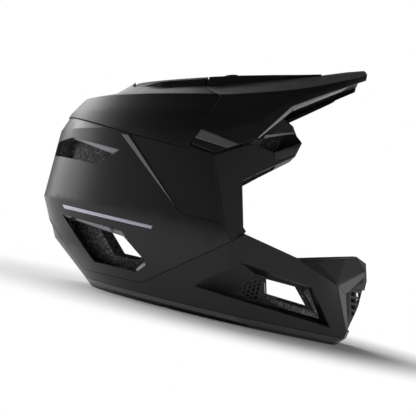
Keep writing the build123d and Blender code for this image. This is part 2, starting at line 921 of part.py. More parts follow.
with BuildPart() as release_slider:
    with Locations((strap_x, slider_y, body_top - slider_sunk + slider_play + slider_height / 2)):
        Box(slider_width, slider_length, slider_height)
    fillet(release_slider.edges().filter_by(Axis.Z), slider_corner)
    top = release_slider.faces().sort_by(Axis.Z)[-1]
    for place in range(slider_ribs):
        rib_y = slider_y + (place - (slider_ribs - 1) / 2) * 2 * slider_rib
        with Locations((strap_x, rib_y, top.center().Z)):
            Box(slider_width - 2 * slider_rib, slider_rib, slider_rib, mode=Mode.SUBTRACT)
save(release_slider, "release_slider")

# Visor: a thin roof and two wings, with a boss at each pivot and a slot for the lock screw


def visor_form(wall):
    """The filled form under the visor's outside, drawn in by a wall, section by section."""
    with BuildPart() as form:
        for shares in visor_section_shares:
            place, middle = shares[0] * shell_length, shares[1] * shell_height
            corners = [
                (y * half_width - wall * lean_y, z * shell_height - wall * lean_z)
                for y, z, (lean_y, lean_z) in zip(shares[2::2], shares[3::2], visor_lean_shares)
            ]
            if wall:
                corners[-1] = (corners[-1][0], corners[-1][1] - overrun)
            with BuildSketch(Plane.YZ.offset(place)) as section:
                with BuildLine():
                    left = [(0, middle - wall)] + corners
                    right = [(-y, z) for y, z in reversed(corners)]
                    Polyline(*left, *right, close=True)
                make_face()
        loft(ruled=True)
    return form.part


visor_outer = visor_form(0)
visor_inner = visor_form(visor_wall)
slot_swing = radians(visor_tilt) * (lock_seat_z - pivot_z)
with BuildPart() as slot_block:
    with BuildSketch(Plane.XY.offset(lock_seat_z - lock_head_radius)):
        with Locations((lock_x - slot_swing / 2, 0)):
            SlotCenterToCenter(slot_swing, 2 * (lock_shank_radius + slot_play))
    extrude(amount=2 * lock_head_radius)
# What the crown cover's front edge sweeps as the visor tips down, seen from the visor
tilt_axis = Axis((pivot_x, 0, pivot_z), (0, -1, 0))
swung_seam = across(seam_shares).rotate(tilt_axis, visor_tilt)
with BuildPart() as visor:
    add(minus(visor_outer, visor_inner, across(seam_shares), swung_seam))
    add(meet(pivot_rod(boss_radius, pocket_y + boss_gap, half_width), visor_outer))
    add(flip(meet(pivot_rod(boss_radius, pocket_y + boss_gap, half_width), visor_outer)))
    stud_bore = pivot_rod(stud_radius + stud_fit, 0, pocket_y + seat_gap + stud_length + stud_fit)
    add(stud_bore, mode=Mode.SUBTRACT)
    add(flip(stud_bore), mode=Mode.SUBTRACT)
    add(slot_block.part, mode=Mode.SUBTRACT)
save(visor, "visor")

with BuildPart() as visor_stud_left:
    add(pivot_rod(stud_radius, pocket_y, pocket_y + stud_length))
save(visor_stud_left, "visor_stud_left")
with BuildPart() as visor_stud_right:
    add(flip(visor_stud_left.part))
save(visor_stud_right, "visor_stud_right")

# Lock screw: a thumb screw with a gripped rim, through the slot into its nut below the forehead cover
with BuildPart() as visor_lock_screw:
    with BuildSketch(lock_plane):
        Circle(lock_head_radius)
        with PolarLocations(lock_head_radius, lock_grips):
            Circle(lock_grip_radius, mode=Mode.SUBTRACT)
    extrude(amount=lock_head_height)
    add(lock_rod(lock_shank_radius, 0, lock_depth))
save(visor_lock_screw, "visor_lock_screw")
with BuildPart() as visor_lock_nut:
    add(lock_rod(nut_radius, lock_depth - nut_height, lock_depth))
    add(lock_rod(lock_shank_radius + nut_fit, 0, overrun), mode=Mode.SUBTRACT)
save(visor_lock_nut, "visor_lock_nut")

# Foam round the head, with the vents let into it: a crown piece that lies on a base piece
liner_base = rim_height + seat_gap
below_liner = slab(-sky, liner_base)
forehead_block = minus(across(forehead_shares), tucked_seam)
with BuildPart() as head_foam:
    add(minus(foam_seat, head_space))
    add(minus(forehead_block, skin(forehead_under + seat_gap, forehead_ring_shares)), mode=Mode.SUBTRACT)
    add(shave(forehead_block, upper_facet_shares, forehead_under + seat_gap), mode=Mode.SUBTRACT)
    add(below_liner, mode=Mode.SUBTRACT)
    add(across(chin_foam_shares), mode=Mode.SUBTRACT)
    add(eyeport, mode=Mode.SUBTRACT)
    add(minus(side_vent, skin(shell_wall + vent_pocket)), mode=Mode.SUBTRACT)
    add(minus(rear_vent, skin(shell_wall + vent_pocket)), mode=Mode.SUBTRACT)
    add(shave(brow_vent, upper_facet_shares, brow_pocket), mode=Mode.SUBTRACT)
    add(across(side_vent_mouth_shares, middle=rear_vent_bridge), mode=Mode.SUBTRACT)
    add(window_cuts, mode=Mode.SUBTRACT)
    add(meet(snap_bores, snap_reach_room), mode=Mode.SUBTRACT)
    add(meet(flip(snap_bores), snap_reach_room), mode=Mode.SUBTRACT)
    anchor_bore = along_y(anchor_shank_radius + seat_gap, strap_x, anchor_z, 0, half_width)
    add(anchor_bore, mode=Mode.SUBTRACT)
    add(flip(anchor_bore), mode=Mode.SUBTRACT)
    add(lock_rod(nut_radius + seat_gap, 0, lock_depth + seat_gap), mode=Mode.SUBTRACT)
    for corner_shares in upper_facet_shares + chin_facet_shares[:1]:
        facet = facet_plane(corner_shares, foam_inset)
        split(bisect_by=facet, keep=Keep.BOTTOM)
        split(bisect_by=mirrored_plane(facet), keep=Keep.BOTTOM)
with BuildPart() as crown_liner:
    add(minus(head_foam.part, slab(-sky, liner_seam_z + seat_gap)))
save(crown_liner, "crown_liner")
with BuildPart() as base_liner:
    add(minus(head_foam.part, slab(liner_seam_z, sky)))
save(base_liner, "base_liner")

# Chin liner: the foam inside the chin bar
chin_hollow_sizes = (-chin_hollow_front, chin_hollow_front, chin_hollow_breadth, chin_hollow_power)
chin_hollow = oval_prism(*chin_hollow_sizes, 0, sky)
grille_room = moved_back(mouth_core, mouth_grille_wall + seat_gap)
with BuildPart() as chin_liner:
    add(meet(chin_seat, across(chin_foam_shares, -seam_gap)))
    add(chin_hollow, mode=Mode.SUBTRACT)
    add(below_liner, mode=Mode.SUBTRACT)
    add(eyeport, mode=Mode.SUBTRACT)
    add(window_cuts, mode=Mode.SUBTRACT)
    add(window_hole.part, mode=Mode.SUBTRACT)
    add(flip(window_hole.part), mode=Mode.SUBTRACT)
    add(mouth_block, mode=Mode.SUBTRACT)
    add(minus(mouth_core, grille_room), mode=Mode.SUBTRACT)
save(chin_liner, "chin_liner")
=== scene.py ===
import json
from math import atan, cos, pi, radians, sin

import bmesh
import bpy
import numpy as np
from mathutils import Matrix, Vector
from mathutils.bvhtree import BVHTree

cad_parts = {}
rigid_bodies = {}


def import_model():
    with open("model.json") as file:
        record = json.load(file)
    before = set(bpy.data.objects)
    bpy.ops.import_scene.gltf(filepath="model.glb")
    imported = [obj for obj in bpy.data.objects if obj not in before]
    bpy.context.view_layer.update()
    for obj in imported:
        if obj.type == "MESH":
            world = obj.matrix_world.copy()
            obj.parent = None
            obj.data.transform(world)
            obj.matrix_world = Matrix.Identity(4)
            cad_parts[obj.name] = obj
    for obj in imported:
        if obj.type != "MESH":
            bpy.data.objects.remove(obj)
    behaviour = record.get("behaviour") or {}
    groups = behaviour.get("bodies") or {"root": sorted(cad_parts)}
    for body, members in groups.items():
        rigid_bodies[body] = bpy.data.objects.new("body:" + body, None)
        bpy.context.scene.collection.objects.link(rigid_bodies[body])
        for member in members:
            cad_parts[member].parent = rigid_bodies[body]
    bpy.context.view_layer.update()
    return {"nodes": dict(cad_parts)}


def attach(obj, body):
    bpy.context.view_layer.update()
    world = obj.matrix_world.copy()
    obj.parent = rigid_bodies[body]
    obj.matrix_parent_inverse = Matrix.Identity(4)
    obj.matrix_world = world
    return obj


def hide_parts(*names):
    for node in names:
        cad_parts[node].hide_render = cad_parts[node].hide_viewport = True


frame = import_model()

nodes = frame["nodes"]
mm = 0.001
print("stage: frame loaded,", len(nodes), "nodes")


# camera, floor and light

cameraSetup = {
    "distance": 1.340,  # from the helmet's middle plane
    "lookX": 0.003,
    "lookZ": 0.0725,
    "roll": 13.5,  # the photographed helmet leans nose down by this much
    "focal": 1264.0,  # in pixels of the picture
    "picture": 416.0,
    "drop": 34.0,  # pixels from the picture's middle down to the point looked at
    "sensor": 36.0,
}


def cameraAxes(setup):
    roll = radians(setup["roll"])
    pitch = atan(setup["drop"] / setup["focal"])
    right = Vector((cos(roll), 0, sin(roll)))
    up = Vector((-sin(roll), 0, cos(roll)))
    ahead = Vector((0, 1, 0))
    aim = ahead * cos(pitch) + up * sin(pitch)
    top = up * cos(pitch) - ahead * sin(pitch)
    return right, top, aim


def makeCamera(setup):
    right, top, aim = cameraAxes(setup)
    data = bpy.data.cameras.new("photoCamera")
    data.sensor_width = setup["sensor"]
    data.lens = setup["sensor"] * setup["focal"] / setup["picture"]
    camera = bpy.data.objects.new("photoCamera", data)
    bpy.context.scene.collection.objects.link(camera)
    turn = Matrix((right, top, -aim)).transposed().to_4x4()
    camera.matrix_world = Matrix.Translation((setup["lookX"], -setup["distance"], setup["lookZ"])) @ turn
    bpy.context.scene.camera = camera


makeCamera(cameraSetup)

studio = {
    "world": 0.06,
    "worldTint": (0.97, 0.98, 1.0),
    "lamps": {
        # place, the point it faces, width and height, power
        "rearSoftbox": ((-1.25, 0.20, 0.42), (0, 0, 0.12), (1.4, 1.1), 20.0),
        "topSoftbox": ((-0.85, 0.85, 0.88), (0, 0, 0.12), (1.2, 0.7), 14.0),
        "frontSoftbox": ((1.25, 0.15, 0.45), (0, 0, 0.12), (0.8, 0.9), 4.0),
        "cameraSoftbox": ((-0.5, -1.7, 0.9), (0, 0, 0.12), (1.8, 1.4), 1.0),
        "lightTable": ((-0.5, 0, 0.0012), (-0.5, 0, 1), (2.4, 1.6), 5.0),
    },
    "hidden": "lightTable",  # it lights the helmet from below, and the camera sees the floor instead
    "floorSize": 14.0,
    "floorDrop": 0.0002,
    "floorTone": 0.9,
    "floorRough": 0.9,
    "floorFade": (0.17, 0.38),  # over this distance from the middle it passes into white
}


def makeLamp(name, place, target, size, power):
    data = bpy.data.lights.new(name, "AREA")
    data.shape = "RECTANGLE"
    data.size, data.size_y = size
    data.energy = power
    lamp = bpy.data.objects.new(name, data)
    bpy.context.scene.collection.objects.link(lamp)
    lamp.location = place
    lamp.rotation_euler = (Vector(target) - Vector(place)).to_track_quat("-Z", "Y").to_euler()


def addNode(tree, kind, settings=None, inputs=None):
    made = tree.nodes.new(kind)
    for key, value in (settings or {}).items():
        setattr(made, key, value)
    for key, value in (inputs or {}).items():
        if isinstance(value, bpy.types.NodeSocket):
            tree.links.new(value, made.inputs[key])
        else:
            made.inputs[key].default_value = value
    return made


def calc(tree, operation, a, b=0.0, c=0.0):
    return addNode(tree, "ShaderNodeMath", {"operation": operation}, {0: a, 1: b, 2: c}).outputs[0]


def smoothStep(tree, value, low, high):
    return addNode(tree, "ShaderNodeMapRange", {"interpolation_type": "SMOOTHSTEP"},
                   {"Value": value, "From Min": low, "From Max": high}).outputs[0]


def largest(tree, value, *others):
    for other in others:
        value = calc(tree, "MAXIMUM", value, other)
    return value


def showWhite(tree, kind, share, usual, output):
    # plain white by the share, and the usual shader for the rest
    white = addNode(tree, kind, None, {"Color": (1, 1, 1, 1), "Strength": 1.0}).outputs[0]
    mix = addNode(tree, "ShaderNodeMixShader", None, {0: share, 1: usual, 2: white}).outputs[0]
    tree.links.new(mix, tree.nodes[output].inputs["Surface"])


def makeStudio(setup):
    world = bpy.data.worlds.new("studio")
    bpy.context.scene.world = world
    world.use_nodes = True
    tree = world.node_tree
    plain = tree.nodes["Background"]
    plain.inputs["Color"].default_value = (*setup["worldTint"], 1)
    plain.inputs["Strength"].default_value = setup["world"]
    # the camera, glass and whatever mirrors sharply see plain white
    path = addNode(tree, "ShaderNodeLightPath").outputs
    mirrored = calc(tree, "MULTIPLY", path["Is Glossy Ray"], path["Is Singular Ray"])
    seen = largest(tree, path["Is Camera Ray"], path["Is Transmission Ray"], mirrored)
    showWhite(tree, "ShaderNodeBackground", seen, plain.outputs[0], "World Output")
    for name, values in setup["lamps"].items():
        makeLamp(name, *values)
    bpy.data.objects[setup["hidden"]].visible_camera = False
    bpy.context.scene.view_settings.view_transform = "Standard"


def makeFloor(setup):
    half, low = setup["floorSize"] / 2, -setup["floorDrop"]
    corners = [(x * half, y * half, low) for x, y in ((-1, -1), (1, -1), (1, 1), (-1, 1))]
    mesh = bpy.data.meshes.new("floor")
    mesh.from_pydata(corners, [], [(0, 1, 2, 3)])
    floor = bpy.data.objects.new("floor", mesh)
    bpy.context.scene.collection.objects.link(floor)
    paint = bpy.data.materials.new("paleFloor")
    paint.use_nodes = True
    tree = paint.node_tree
    shader = tree.nodes["Principled BSDF"]
    shader.inputs["Base Color"].default_value = (setup["floorTone"],) * 3 + (1,)
    shader.inputs["Roughness"].default_value = setup["floorRough"]
    # further out the floor passes into the white background
    path = addNode(tree, "ShaderNodeLightPath").outputs
    place = addNode(tree, "ShaderNodeTexCoord").outputs["Object"]
    reach = addNode(tree, "ShaderNodeVectorMath", {"operation": "LENGTH"}, {0: place}).outputs["Value"]
    seen = largest(tree, path["Is Camera Ray"], path["Is Glossy Ray"], path["Is Transmission Ray"])
    far = calc(tree, "MULTIPLY", smoothStep(tree, reach, *setup["floorFade"]), seen)
    showWhite(tree, "ShaderNodeEmission", far, shader.outputs[0], "Material Output")
    mesh.materials.append(paint)


makeStudio(studio)
makeFloor(studio)
print("stage: camera, light and floor")


# materials

def mixColors(tree, share, first, second):
    return addNode(tree, "ShaderNodeMix", {"data_type": "RGBA"}, {0: share, 6: first, 7: second}).outputs[2]


def setColor(tree, shader, share, first, second):
    tree.links.new(mixColors(tree, share, first, second), shader.inputs["Base Color"])


def rgb(color, share=1.0):
    return (*(value * share for value in color), 1.0)


def startMaterial(name, roughness, specular, metallic=0.0):
    made = bpy.data.materials.new(name)
    made.use_nodes = True
    tree = made.node_tree
    shader = tree.nodes["Principled BSDF"]
    shader.inputs["Roughness"].default_value = roughness
    shader.inputs["Specular IOR Level"].default_value = specular
    shader.inputs["Metallic"].default_value = metallic
    place = addNode(tree, "ShaderNodeTexCoord").outputs["Object"]
    return made, tree, shader, place


def noise(tree, place, scale, detail, roughness=0.5):
    return addNode(tree, "ShaderNodeTexNoise", None,
                   {"Vector": place, "Scale": scale, "Detail": detail, "Roughness": roughness}).outputs["Fac"]


def spread(tree, value, low, high):
    # carries a value from 0..1 to low..high
    return addNode(tree, "ShaderNodeMapRange", None,
                   {"Value": value, "To Min": low, "To Max": high}).outputs[0]


def wave(tree, value, length):
    return calc(tree, "SINE", calc(tree, "MULTIPLY", value, 2 * pi / length))


def splitAxes(tree, vector):
    return addNode(tree, "ShaderNodeSeparateXYZ", None, {0: vector}).outputs


def addBump(tree, shader, height, strength, distance, edgeRadius=0.0):
    inputs = {"Height": height, "Strength": strength, "Distance": distance}
    if edgeRadius:
        inputs["Normal"] = addNode(tree, "ShaderNodeBevel", {"samples": 4}, {"Radius": edgeRadius}).outputs[0]
    bump = addNode(tree, "ShaderNodeBump", None, inputs)
    tree.links.new(bump.outputs[0], shader.inputs["Normal"])


mouldedLook = {
    "grain": (1500.0, 2.0, 0.6),  # fine spark texture of the mould: scale, detail, roughness
    "grainDepth": 0.0002,
    "cloud": (18.0, 4.0),
    "cloudShare": 0.10,
    "glossSwing": 0.05,
    "edge": 0.0007,
}


def mouldedPlastic(name, color, roughness, bumpStrength=0.10, specular=0.45, edge=mouldedLook["edge"]):
    # matt plastic: a fine grain in the normal, and faint clouds in its colour and gloss
    look = mouldedLook
    made, tree, shader, place = startMaterial(name, roughness, specular)
    cloud = noise(tree, place, *look["cloud"])
    darker, lighter = rgb(color, 1 - look["cloudShare"]), rgb(color, 1 + look["cloudShare"])
    gloss = spread(tree, cloud, roughness - look["glossSwing"], roughness + look["glossSwing"])
    setColor(tree, shader, cloud, darker, lighter)
    tree.links.new(gloss, shader.inputs["Roughness"])
    addBump(tree, shader, noise(tree, place, *look["grain"]), bumpStrength, look["grainDepth"], edge)
    return made


wovenLook = {
    "pitch": 0.0021,  # from one bright line of the weave to the next
    "dash": 0.0016,
    "dark": (0.0020, 0.0022, 0.0028),
    "bright": (0.016, 0.017, 0.021),
    "rough": 0.40,
    "specular": 0.36,
    "turnX": -0.230,  # where the pattern passes from the side to the rear
    "panelRear": ((-0.0348, 0.0973), (-0.0973, 0.1572)),
    "panelFoot": ((0.0121, 0.0926), (-0.0268, 0.0932)),
    "frameEdge": ((0.0239, 0.0780), (0.0121, 0.0926)),
    "lineBlur": 0.0001,
    "plain": (0.0050, 0.0052, 0.0060),
}


def beyondLine(tree, x, z, line, blur):
    # 1 on the right of a line through two points of the side view, going from the first to the second
    (ax, az), (bx, bz) = line
    length = ((bx - ax) ** 2 + (bz - az) ** 2) ** 0.5
    normalX, normalZ = (bz - az) / length, -(bx - ax) / length
    along = calc(tree, "MULTIPLY_ADD", x, normalX, -(ax * normalX + az * normalZ))
    distance = calc(tree, "MULTIPLY_ADD", z, normalZ, along)
    return smoothStep(tree, distance, -blur, blur)


def wovenShell(name, look):
    # satin shell: dashes on diagonal lines, left out on the sunk panel and on the eye port's frame
    made, tree, shader, place = startMaterial(name, look["rough"], look["specular"])
    x, y, z = splitAxes(tree, place)
    facing = splitAxes(tree, addNode(tree, "ShaderNodeNewGeometry").outputs["Normal"])
    facingX, facingY = [calc(tree, "ABSOLUTE", facing[axis]) for axis in (0, 1)]
    sideways = calc(tree, "GREATER_THAN", facingY, facingX)
    rearRun = calc(tree, "ADD", calc(tree, "ABSOLUTE", y), look["turnX"])
    run = calc(tree, "ADD", calc(tree, "MULTIPLY", x, sideways),
               calc(tree, "MULTIPLY", rearRun, calc(tree, "SUBTRACT", 1.0, sideways)))
    lines = wave(tree, calc(tree, "ADD", run, z), look["pitch"] * 2 ** 0.5)
    dashes = wave(tree, calc(tree, "SUBTRACT", run, z), look["dash"] * 2 ** 0.5)
    dashes = spread(tree, smoothStep(tree, dashes, -1, 1), 0.35, 1.0)
    weave = calc(tree, "MULTIPLY", smoothStep(tree, lines, -0.2, 0.9), dashes)
    panelRear, panelFoot, front = [beyondLine(tree, x, z, look[line], look["lineBlur"])
                                   for line in ("panelRear", "panelFoot", "frameEdge")]
    plain = largest(tree, calc(tree, "MINIMUM", panelRear, panelFoot), front)
    weave = calc(tree, "MULTIPLY", weave, calc(tree, "SUBTRACT", 1.0, plain))
    tone = mixColors(tree, weave, rgb(look["dark"]), rgb(look["bright"]))
    setColor(tree, shader, plain, tone, rgb(look["plain"]))
    gloss = spread(tree, noise(tree, place, 14.0, 3.0), look["rough"] - 0.03, look["rough"] + 0.04)
    tree.links.new(calc(tree, "MULTIPLY_ADD", plain, 0.06, gloss), shader.inputs["Roughness"])
    grain = calc(tree, "MULTIPLY_ADD", noise(tree, place, 1400.0, 2.0), 0.25, weave)
    addBump(tree, shader, grain, 0.12, 0.0002, 0.0006)
    return made


foamLook = {
    "beads": 640.0,  # beads to the metre
    "dark": (0.032, 0.032, 0.033),
    "mid": (0.082, 0.082, 0.084),
    "pale": (0.19, 0.19, 0.192),
}
# painted light: a lighter copy of the foam for the foam seen through the chin bar's windows, which lies in
# shade
paintedLightFoamLook = {
    **foamLook,
    "dark": (0.085, 0.085, 0.087),
    "mid": (0.19, 0.19, 0.193),
    "pale": (0.34, 0.34, 0.345),
}


def beadFoam(name, look):
    # moulded bead foam: rounded cells with dark joints, and beads of several greys
    made, tree, shader, place = startMaterial(name, 0.85, 0.25)
    cells, joints = [addNode(tree, "ShaderNodeTexVoronoi", {"feature": feature},
                             {"Vector": place, "Scale": look["beads"]}).outputs
                     for feature in ("F1", "DISTANCE_TO_EDGE")]
    pick = addNode(tree, "ShaderNodeSeparateColor", None, {0: cells["Color"]}).outputs[0]
    bead = mixColors(tree, smoothStep(tree, pick, 0.1, 0.6), rgb(look["dark"]), rgb(look["mid"]))
    bead = mixColors(tree, smoothStep(tree, pick, 0.72, 0.95), bead, rgb(look["pale"]))
    seam = smoothStep(tree, joints["Distance"], 0.0, 0.10)
    setColor(tree, shader, seam, rgb(look["dark"]), bead)
    height = calc(tree, "MULTIPLY_ADD", noise(tree, place, 900.0, 2.0), 0.3, seam)
    addBump(tree, shader, height, 0.5, 0.0005)
    return made


def knitFabric(name, color, loops=900.0):
    # brushed knit: rows of loops across a soft nap, with a sheen on its fibres
    made, tree, shader, place = startMaterial(name, 0.92, 0.2)
    x, y, z = splitAxes(tree, place)
    rows = wave(tree, z, 2 / loops)
    wales = wave(tree, calc(tree, "ADD", x, y), 2 / loops)
    knit = spread(tree, calc(tree, "MULTIPLY", rows, wales), 0.0, 1.0)
    nap = noise(tree, place, 260.0, 5.0, 0.7)
    soft = calc(tree, "MULTIPLY_ADD", knit, 0.5, calc(tree, "MULTIPLY", nap, 0.5))
    setColor(tree, shader, soft, rgb(color, 0.55), rgb(color, 1.5))
    shader.inputs["Sheen Weight"].default_value = 0.35
    shader.inputs["Sheen Roughness"].default_value = 0.5
    addBump(tree, shader, soft, 0.45, 0.0004)
    return made


webbingLook = {
    "color": (0.017, 0.017, 0.0185),
    "map": "strapMap",  # the strap's own map, in metres
    "fold": 0.0025,
    "rib": 0.0011,
    "thread": 0.0009,
}


def wovenWebbing(name, look):
    # flat webbing: ribs across and a herringbone along, by the map's distance across and along
    made, tree, shader, _ = startMaterial(name, 0.78, 0.3)
    across, along, _ = splitAxes(tree, addNode(tree, "ShaderNodeUVMap", {"uv_map": look["map"]}).outputs[0])
    slant = calc(tree, "ADD", along, calc(tree, "PINGPONG", across, look["fold"]))
    threads = calc(tree, "MULTIPLY_ADD", wave(tree, across, look["thread"]), 0.15, 0.5)
    weave = calc(tree, "MULTIPLY_ADD", wave(tree, slant, look["rib"]), 0.35, threads)
    darker, lighter = rgb(look["color"], 0.5), rgb(look["color"], 1.6)
    setColor(tree, shader, weave, darker, lighter)
    addBump(tree, shader, weave, 0.5, 0.0003)
    return made


def brushedMetal(name, color, roughness=0.32):
    # fine scratches, stretched by the mapping
    made, tree, shader, place = startMaterial(name, roughness, 0.5, 1.0)
    drawn = addNode(tree, "ShaderNodeMapping", None, {"Vector": place, "Scale": (1.0, 12.0, 1.0)}).outputs[0]
    marks = noise(tree, drawn, 700.0, 4.0)
    setColor(tree, shader, marks, rgb(color, 0.8), rgb(color))
    tree.links.new(spread(tree, marks, roughness - 0.08, roughness + 0.12), shader.inputs["Roughness"])
    addBump(tree, shader, marks, 0.1, 0.0001, 0.0003)
    return made


finishes = {
    "upper_shell": wovenShell("satinWovenShell", wovenLook),
    "crown_cover": mouldedPlastic("matteCrown", (0.005, 0.005, 0.0053), 0.50, 0.10, 0.30),
    "forehead_cover": mouldedPlastic("matteForehead", (0.007, 0.007, 0.0075), 0.50, 0.10, 0.3),
    "visor": mouldedPlastic("matteVisor", (0.005, 0.005, 0.0053), 0.50, 0.10, 0.30),
    "chin_guard": mouldedPlastic("matteChinGuard", (0.006, 0.006, 0.0065), 0.46, 0.10, 0.36),
    "rim_trim": mouldedPlastic("rimTrimPlastic", (0.030, 0.030, 0.031), 0.50),
    "eyeport_trim": mouldedPlastic("edgingRubber", (0.012, 0.012, 0.013), 0.62, 0.2, 0.3),
    "mouth_grille": mouldedPlastic("grillePlastic", (0.008, 0.008, 0.0085), 0.55),
    "crown_liner": beadFoam("beadFoam", foamLook),
    "pad_snaps": mouldedPlastic("snapPlastic", (0.02, 0.02, 0.021), 0.4),
    "strap_anchors": brushedMetal("anchorSteel", (0.55, 0.55, 0.57)),
    "buckle_body": mouldedPlastic("bucklePlastic", (0.014, 0.014, 0.015), 0.36),
    "release_slider": mouldedPlastic("sliderPlastic", (0.11, 0.11, 0.115), 0.42),
    "visor_stud_left": brushedMetal("studAluminium", (0.5, 0.5, 0.52)),
    "visor_lock_screw": mouldedPlastic("screwPlastic", (0.014, 0.014, 0.015), 0.38, 0.2),
    "visor_lock_nut": brushedMetal("nutBrass", (0.62, 0.46, 0.2)),
}
sameFinish = {
    "base_liner": "crown_liner",
    "chin_liner": "crown_liner",
    "window_grille_left": "mouth_grille",
    "window_grille_right": "mouth_grille",
    "buckle_tongue": "buckle_body",
    "visor_stud_right": "visor_stud_left",
}


nodeWeld = 1e-6  # points of a CAD mesh closer than this are one
sharpTurn = 24  # edges that turn by more degrees stay sharp


def shadeGroup():
    # merges the loose triangles, then keeps only the sharp edges sharp
    group = bpy.data.node_groups.new("shadeByAngle", "GeometryNodeTree")
    for way in ("INPUT", "OUTPUT"):
        group.interface.new_socket("Geometry", in_out=way, socket_type="NodeSocketGeometry")
    entry = group.nodes.new("NodeGroupInput")
    leave = group.nodes.new("NodeGroupOutput")
    merge = addNode(group, "GeometryNodeMergeByDistance", None,
                    {"Geometry": entry.outputs[0], "Distance": nodeWeld})
    smooth = addNode(group, "GeometryNodeSetShadeSmooth", {"domain": "FACE"}, {"Geometry": merge.outputs[0]})
    angle = addNode(group, "GeometryNodeInputMeshEdgeAngle").outputs["Unsigned Angle"]
    flat = addNode(group, "FunctionNodeCompare", {"data_type": "FLOAT", "operation": "LESS_EQUAL"},
                   {0: angle, 1: radians(sharpTurn)}).outputs[0]
    edges = addNode(group, "GeometryNodeSetShadeSmooth", {"domain": "EDGE"},
                    {"Geometry": smooth.outputs[0], "Shade Smooth": flat})
    group.links.new(edges.outputs[0], leave.inputs[0])
    return group


shading = shadeGroup()


def shadeByAngle(piece):
    piece.modifiers.new("shadeByAngle", "NODES").node_group = shading


def dressNodes():
    for name, piece in nodes.items():
        finish = finishes.get(sameFinish.get(name, name))
        if finish is None:
            continue  # the pads and straps, which pieces of their own replace
        piece.data.materials.clear()
        piece.data.materials.append(finish)
        shadeByAngle(piece)


dressNodes()
print("stage: materials on the moulded pieces")


# helpers for new pieces

sides = (("Right", -1.0), ("Left", 1.0))
homes = {
    # what a piece lies on or belongs to: its body and its slot
    "upper_shell": ("helmet", "shell_satin"),
    "crown_cover": ("helmet", "shell_black"),
    "forehead_cover": ("helmet", "shell_black"),
    "chin_guard": ("helmet", "shell_black"),
    "visor": ("visor_body", "visor_black"),
    "lock": ("visor_lock", "screw_plastic"),
    "foam": ("helmet", "foam_grey"),
    "pad": ("helmet", "pad_fabric"),
    "strap": ("helmet", "strap_webbing"),
}


def unit(ways):
    return ways / np.linalg.norm(ways, axis=-1, keepdims=True)


def smoothed(points):
    # half of each point and a quarter of both its neighbours, round a loop
    return points * 0.5 + (np.roll(points, 1, axis=0) + np.roll(points, -1, axis=0)) * 0.25


def alongLine(corners, steps):
    # evenly spaced points along straight runs, by the distance covered
    corners = np.array(corners, float)
    covered = np.concatenate([[0], np.cumsum(np.linalg.norm(np.diff(corners, axis=0), axis=1))])
    spots = np.linspace(0, covered[-1], steps)
    return np.stack([np.interp(spots, covered, values) for values in corners.T], axis=-1)


def quads(index):
    # the four-sided faces between neighbours of a grid of point numbers
    return np.stack([index[:-1, :-1], index[:-1, 1:], index[1:, 1:], index[1:, :-1]], axis=-1).reshape(-1, 4)


def ringFaces(rows, columns, loop=False):
    # the faces round a row of closed rings, whose ends are closed or, in a loop, joined
    index = np.arange(rows * columns).reshape(rows, columns)
    index = np.concatenate([index, index[:, :1]], axis=1)
    if loop:
        return list(quads(np.concatenate([index, index[:1]], axis=0)))
    return list(quads(index)) + [index[0, :-1][::-1], index[-1, :-1]]


def closedMesh(name, points, faces, smooth=True):
    mesh = bpy.data.meshes.new(name)
    mesh.from_pydata(np.asarray(points).reshape(-1, 3).tolist(), [], [list(face) for face in faces])
    work = bmesh.new()
    work.from_mesh(mesh)
    bmesh.ops.remove_doubles(work, verts=work.verts, dist=1e-7)
    bmesh.ops.recalc_face_normals(work, faces=work.faces)
    work.to_mesh(mesh)
    work.free()
    mesh.polygons.foreach_set("use_smooth", np.full(len(mesh.polygons), smooth))
    return mesh


def slabMesh(name, outer, inner):
    # a sheet with a thickness: its outer grid, its inner grid, and a wall round the border
    count = outer.shape[0] * outer.shape[1]
    index = np.arange(count).reshape(outer.shape[:2])
    rim = np.concatenate([index[0, :-1], index[:-1, -1], index[-1, :0:-1], index[:0:-1, 0]])
    after = np.roll(rim, -1)
    wall = np.stack([rim, rim + count, after + count, after], axis=-1)
    faces = np.concatenate([quads(index), quads(index + count)[:, ::-1], wall])
    return closedMesh(name, np.concatenate([outer.reshape(-1, 3), inner.reshape(-1, 3)]), faces)


def tubeMesh(name, path, facing, radius, around, loop=False):
    # a round rod along a path: each ring is the point plus radius times (cos a * facing + sin a * sideways)
    ahead = unit(np.roll(path, -1, axis=0) - np.roll(path, 1, axis=0) if loop else np.gradient(path, axis=0))
    level = unit(facing - (facing * ahead).sum(1, keepdims=True) * ahead)
    sideways = np.cross(ahead, level)
    angles = np.linspace(0, 2 * pi, around, endpoint=False)[None, :, None]
    rings = path[:, None] + radius * (np.cos(angles) * level[:, None] + np.sin(angles) * sideways[:, None])
    return closedMesh(name, rings, ringFaces(len(path), around, loop))


def joined(name, meshes, weld=0.0):
    work = bmesh.new()
    for mesh in meshes:
        work.from_mesh(mesh)
    if weld:
        bmesh.ops.remove_doubles(work, verts=work.verts, dist=weld)
    whole = bpy.data.meshes.new(name)
    work.to_mesh(whole)
    work.free()
    return whole


def addPiece(name, mesh, home, finish):
    body, slot = homes[home]
    piece = bpy.data.objects.new(name, mesh)
    bpy.context.scene.collection.objects.link(piece)
    mesh.materials.clear()
    mesh.materials.append(finish)
    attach(piece, body)
    return piece


def readVectors(mesh, kind):
    values = np.empty(len(mesh.vertices) * 3)
    mesh.vertices.foreach_get(kind, values)
    return values.reshape(-1, 3)


def treeOf(mesh):
    faces = [list(face.vertices) for face in mesh.polygons]
    return BVHTree.FromPolygons(readVectors(mesh, "co").tolist(), faces)


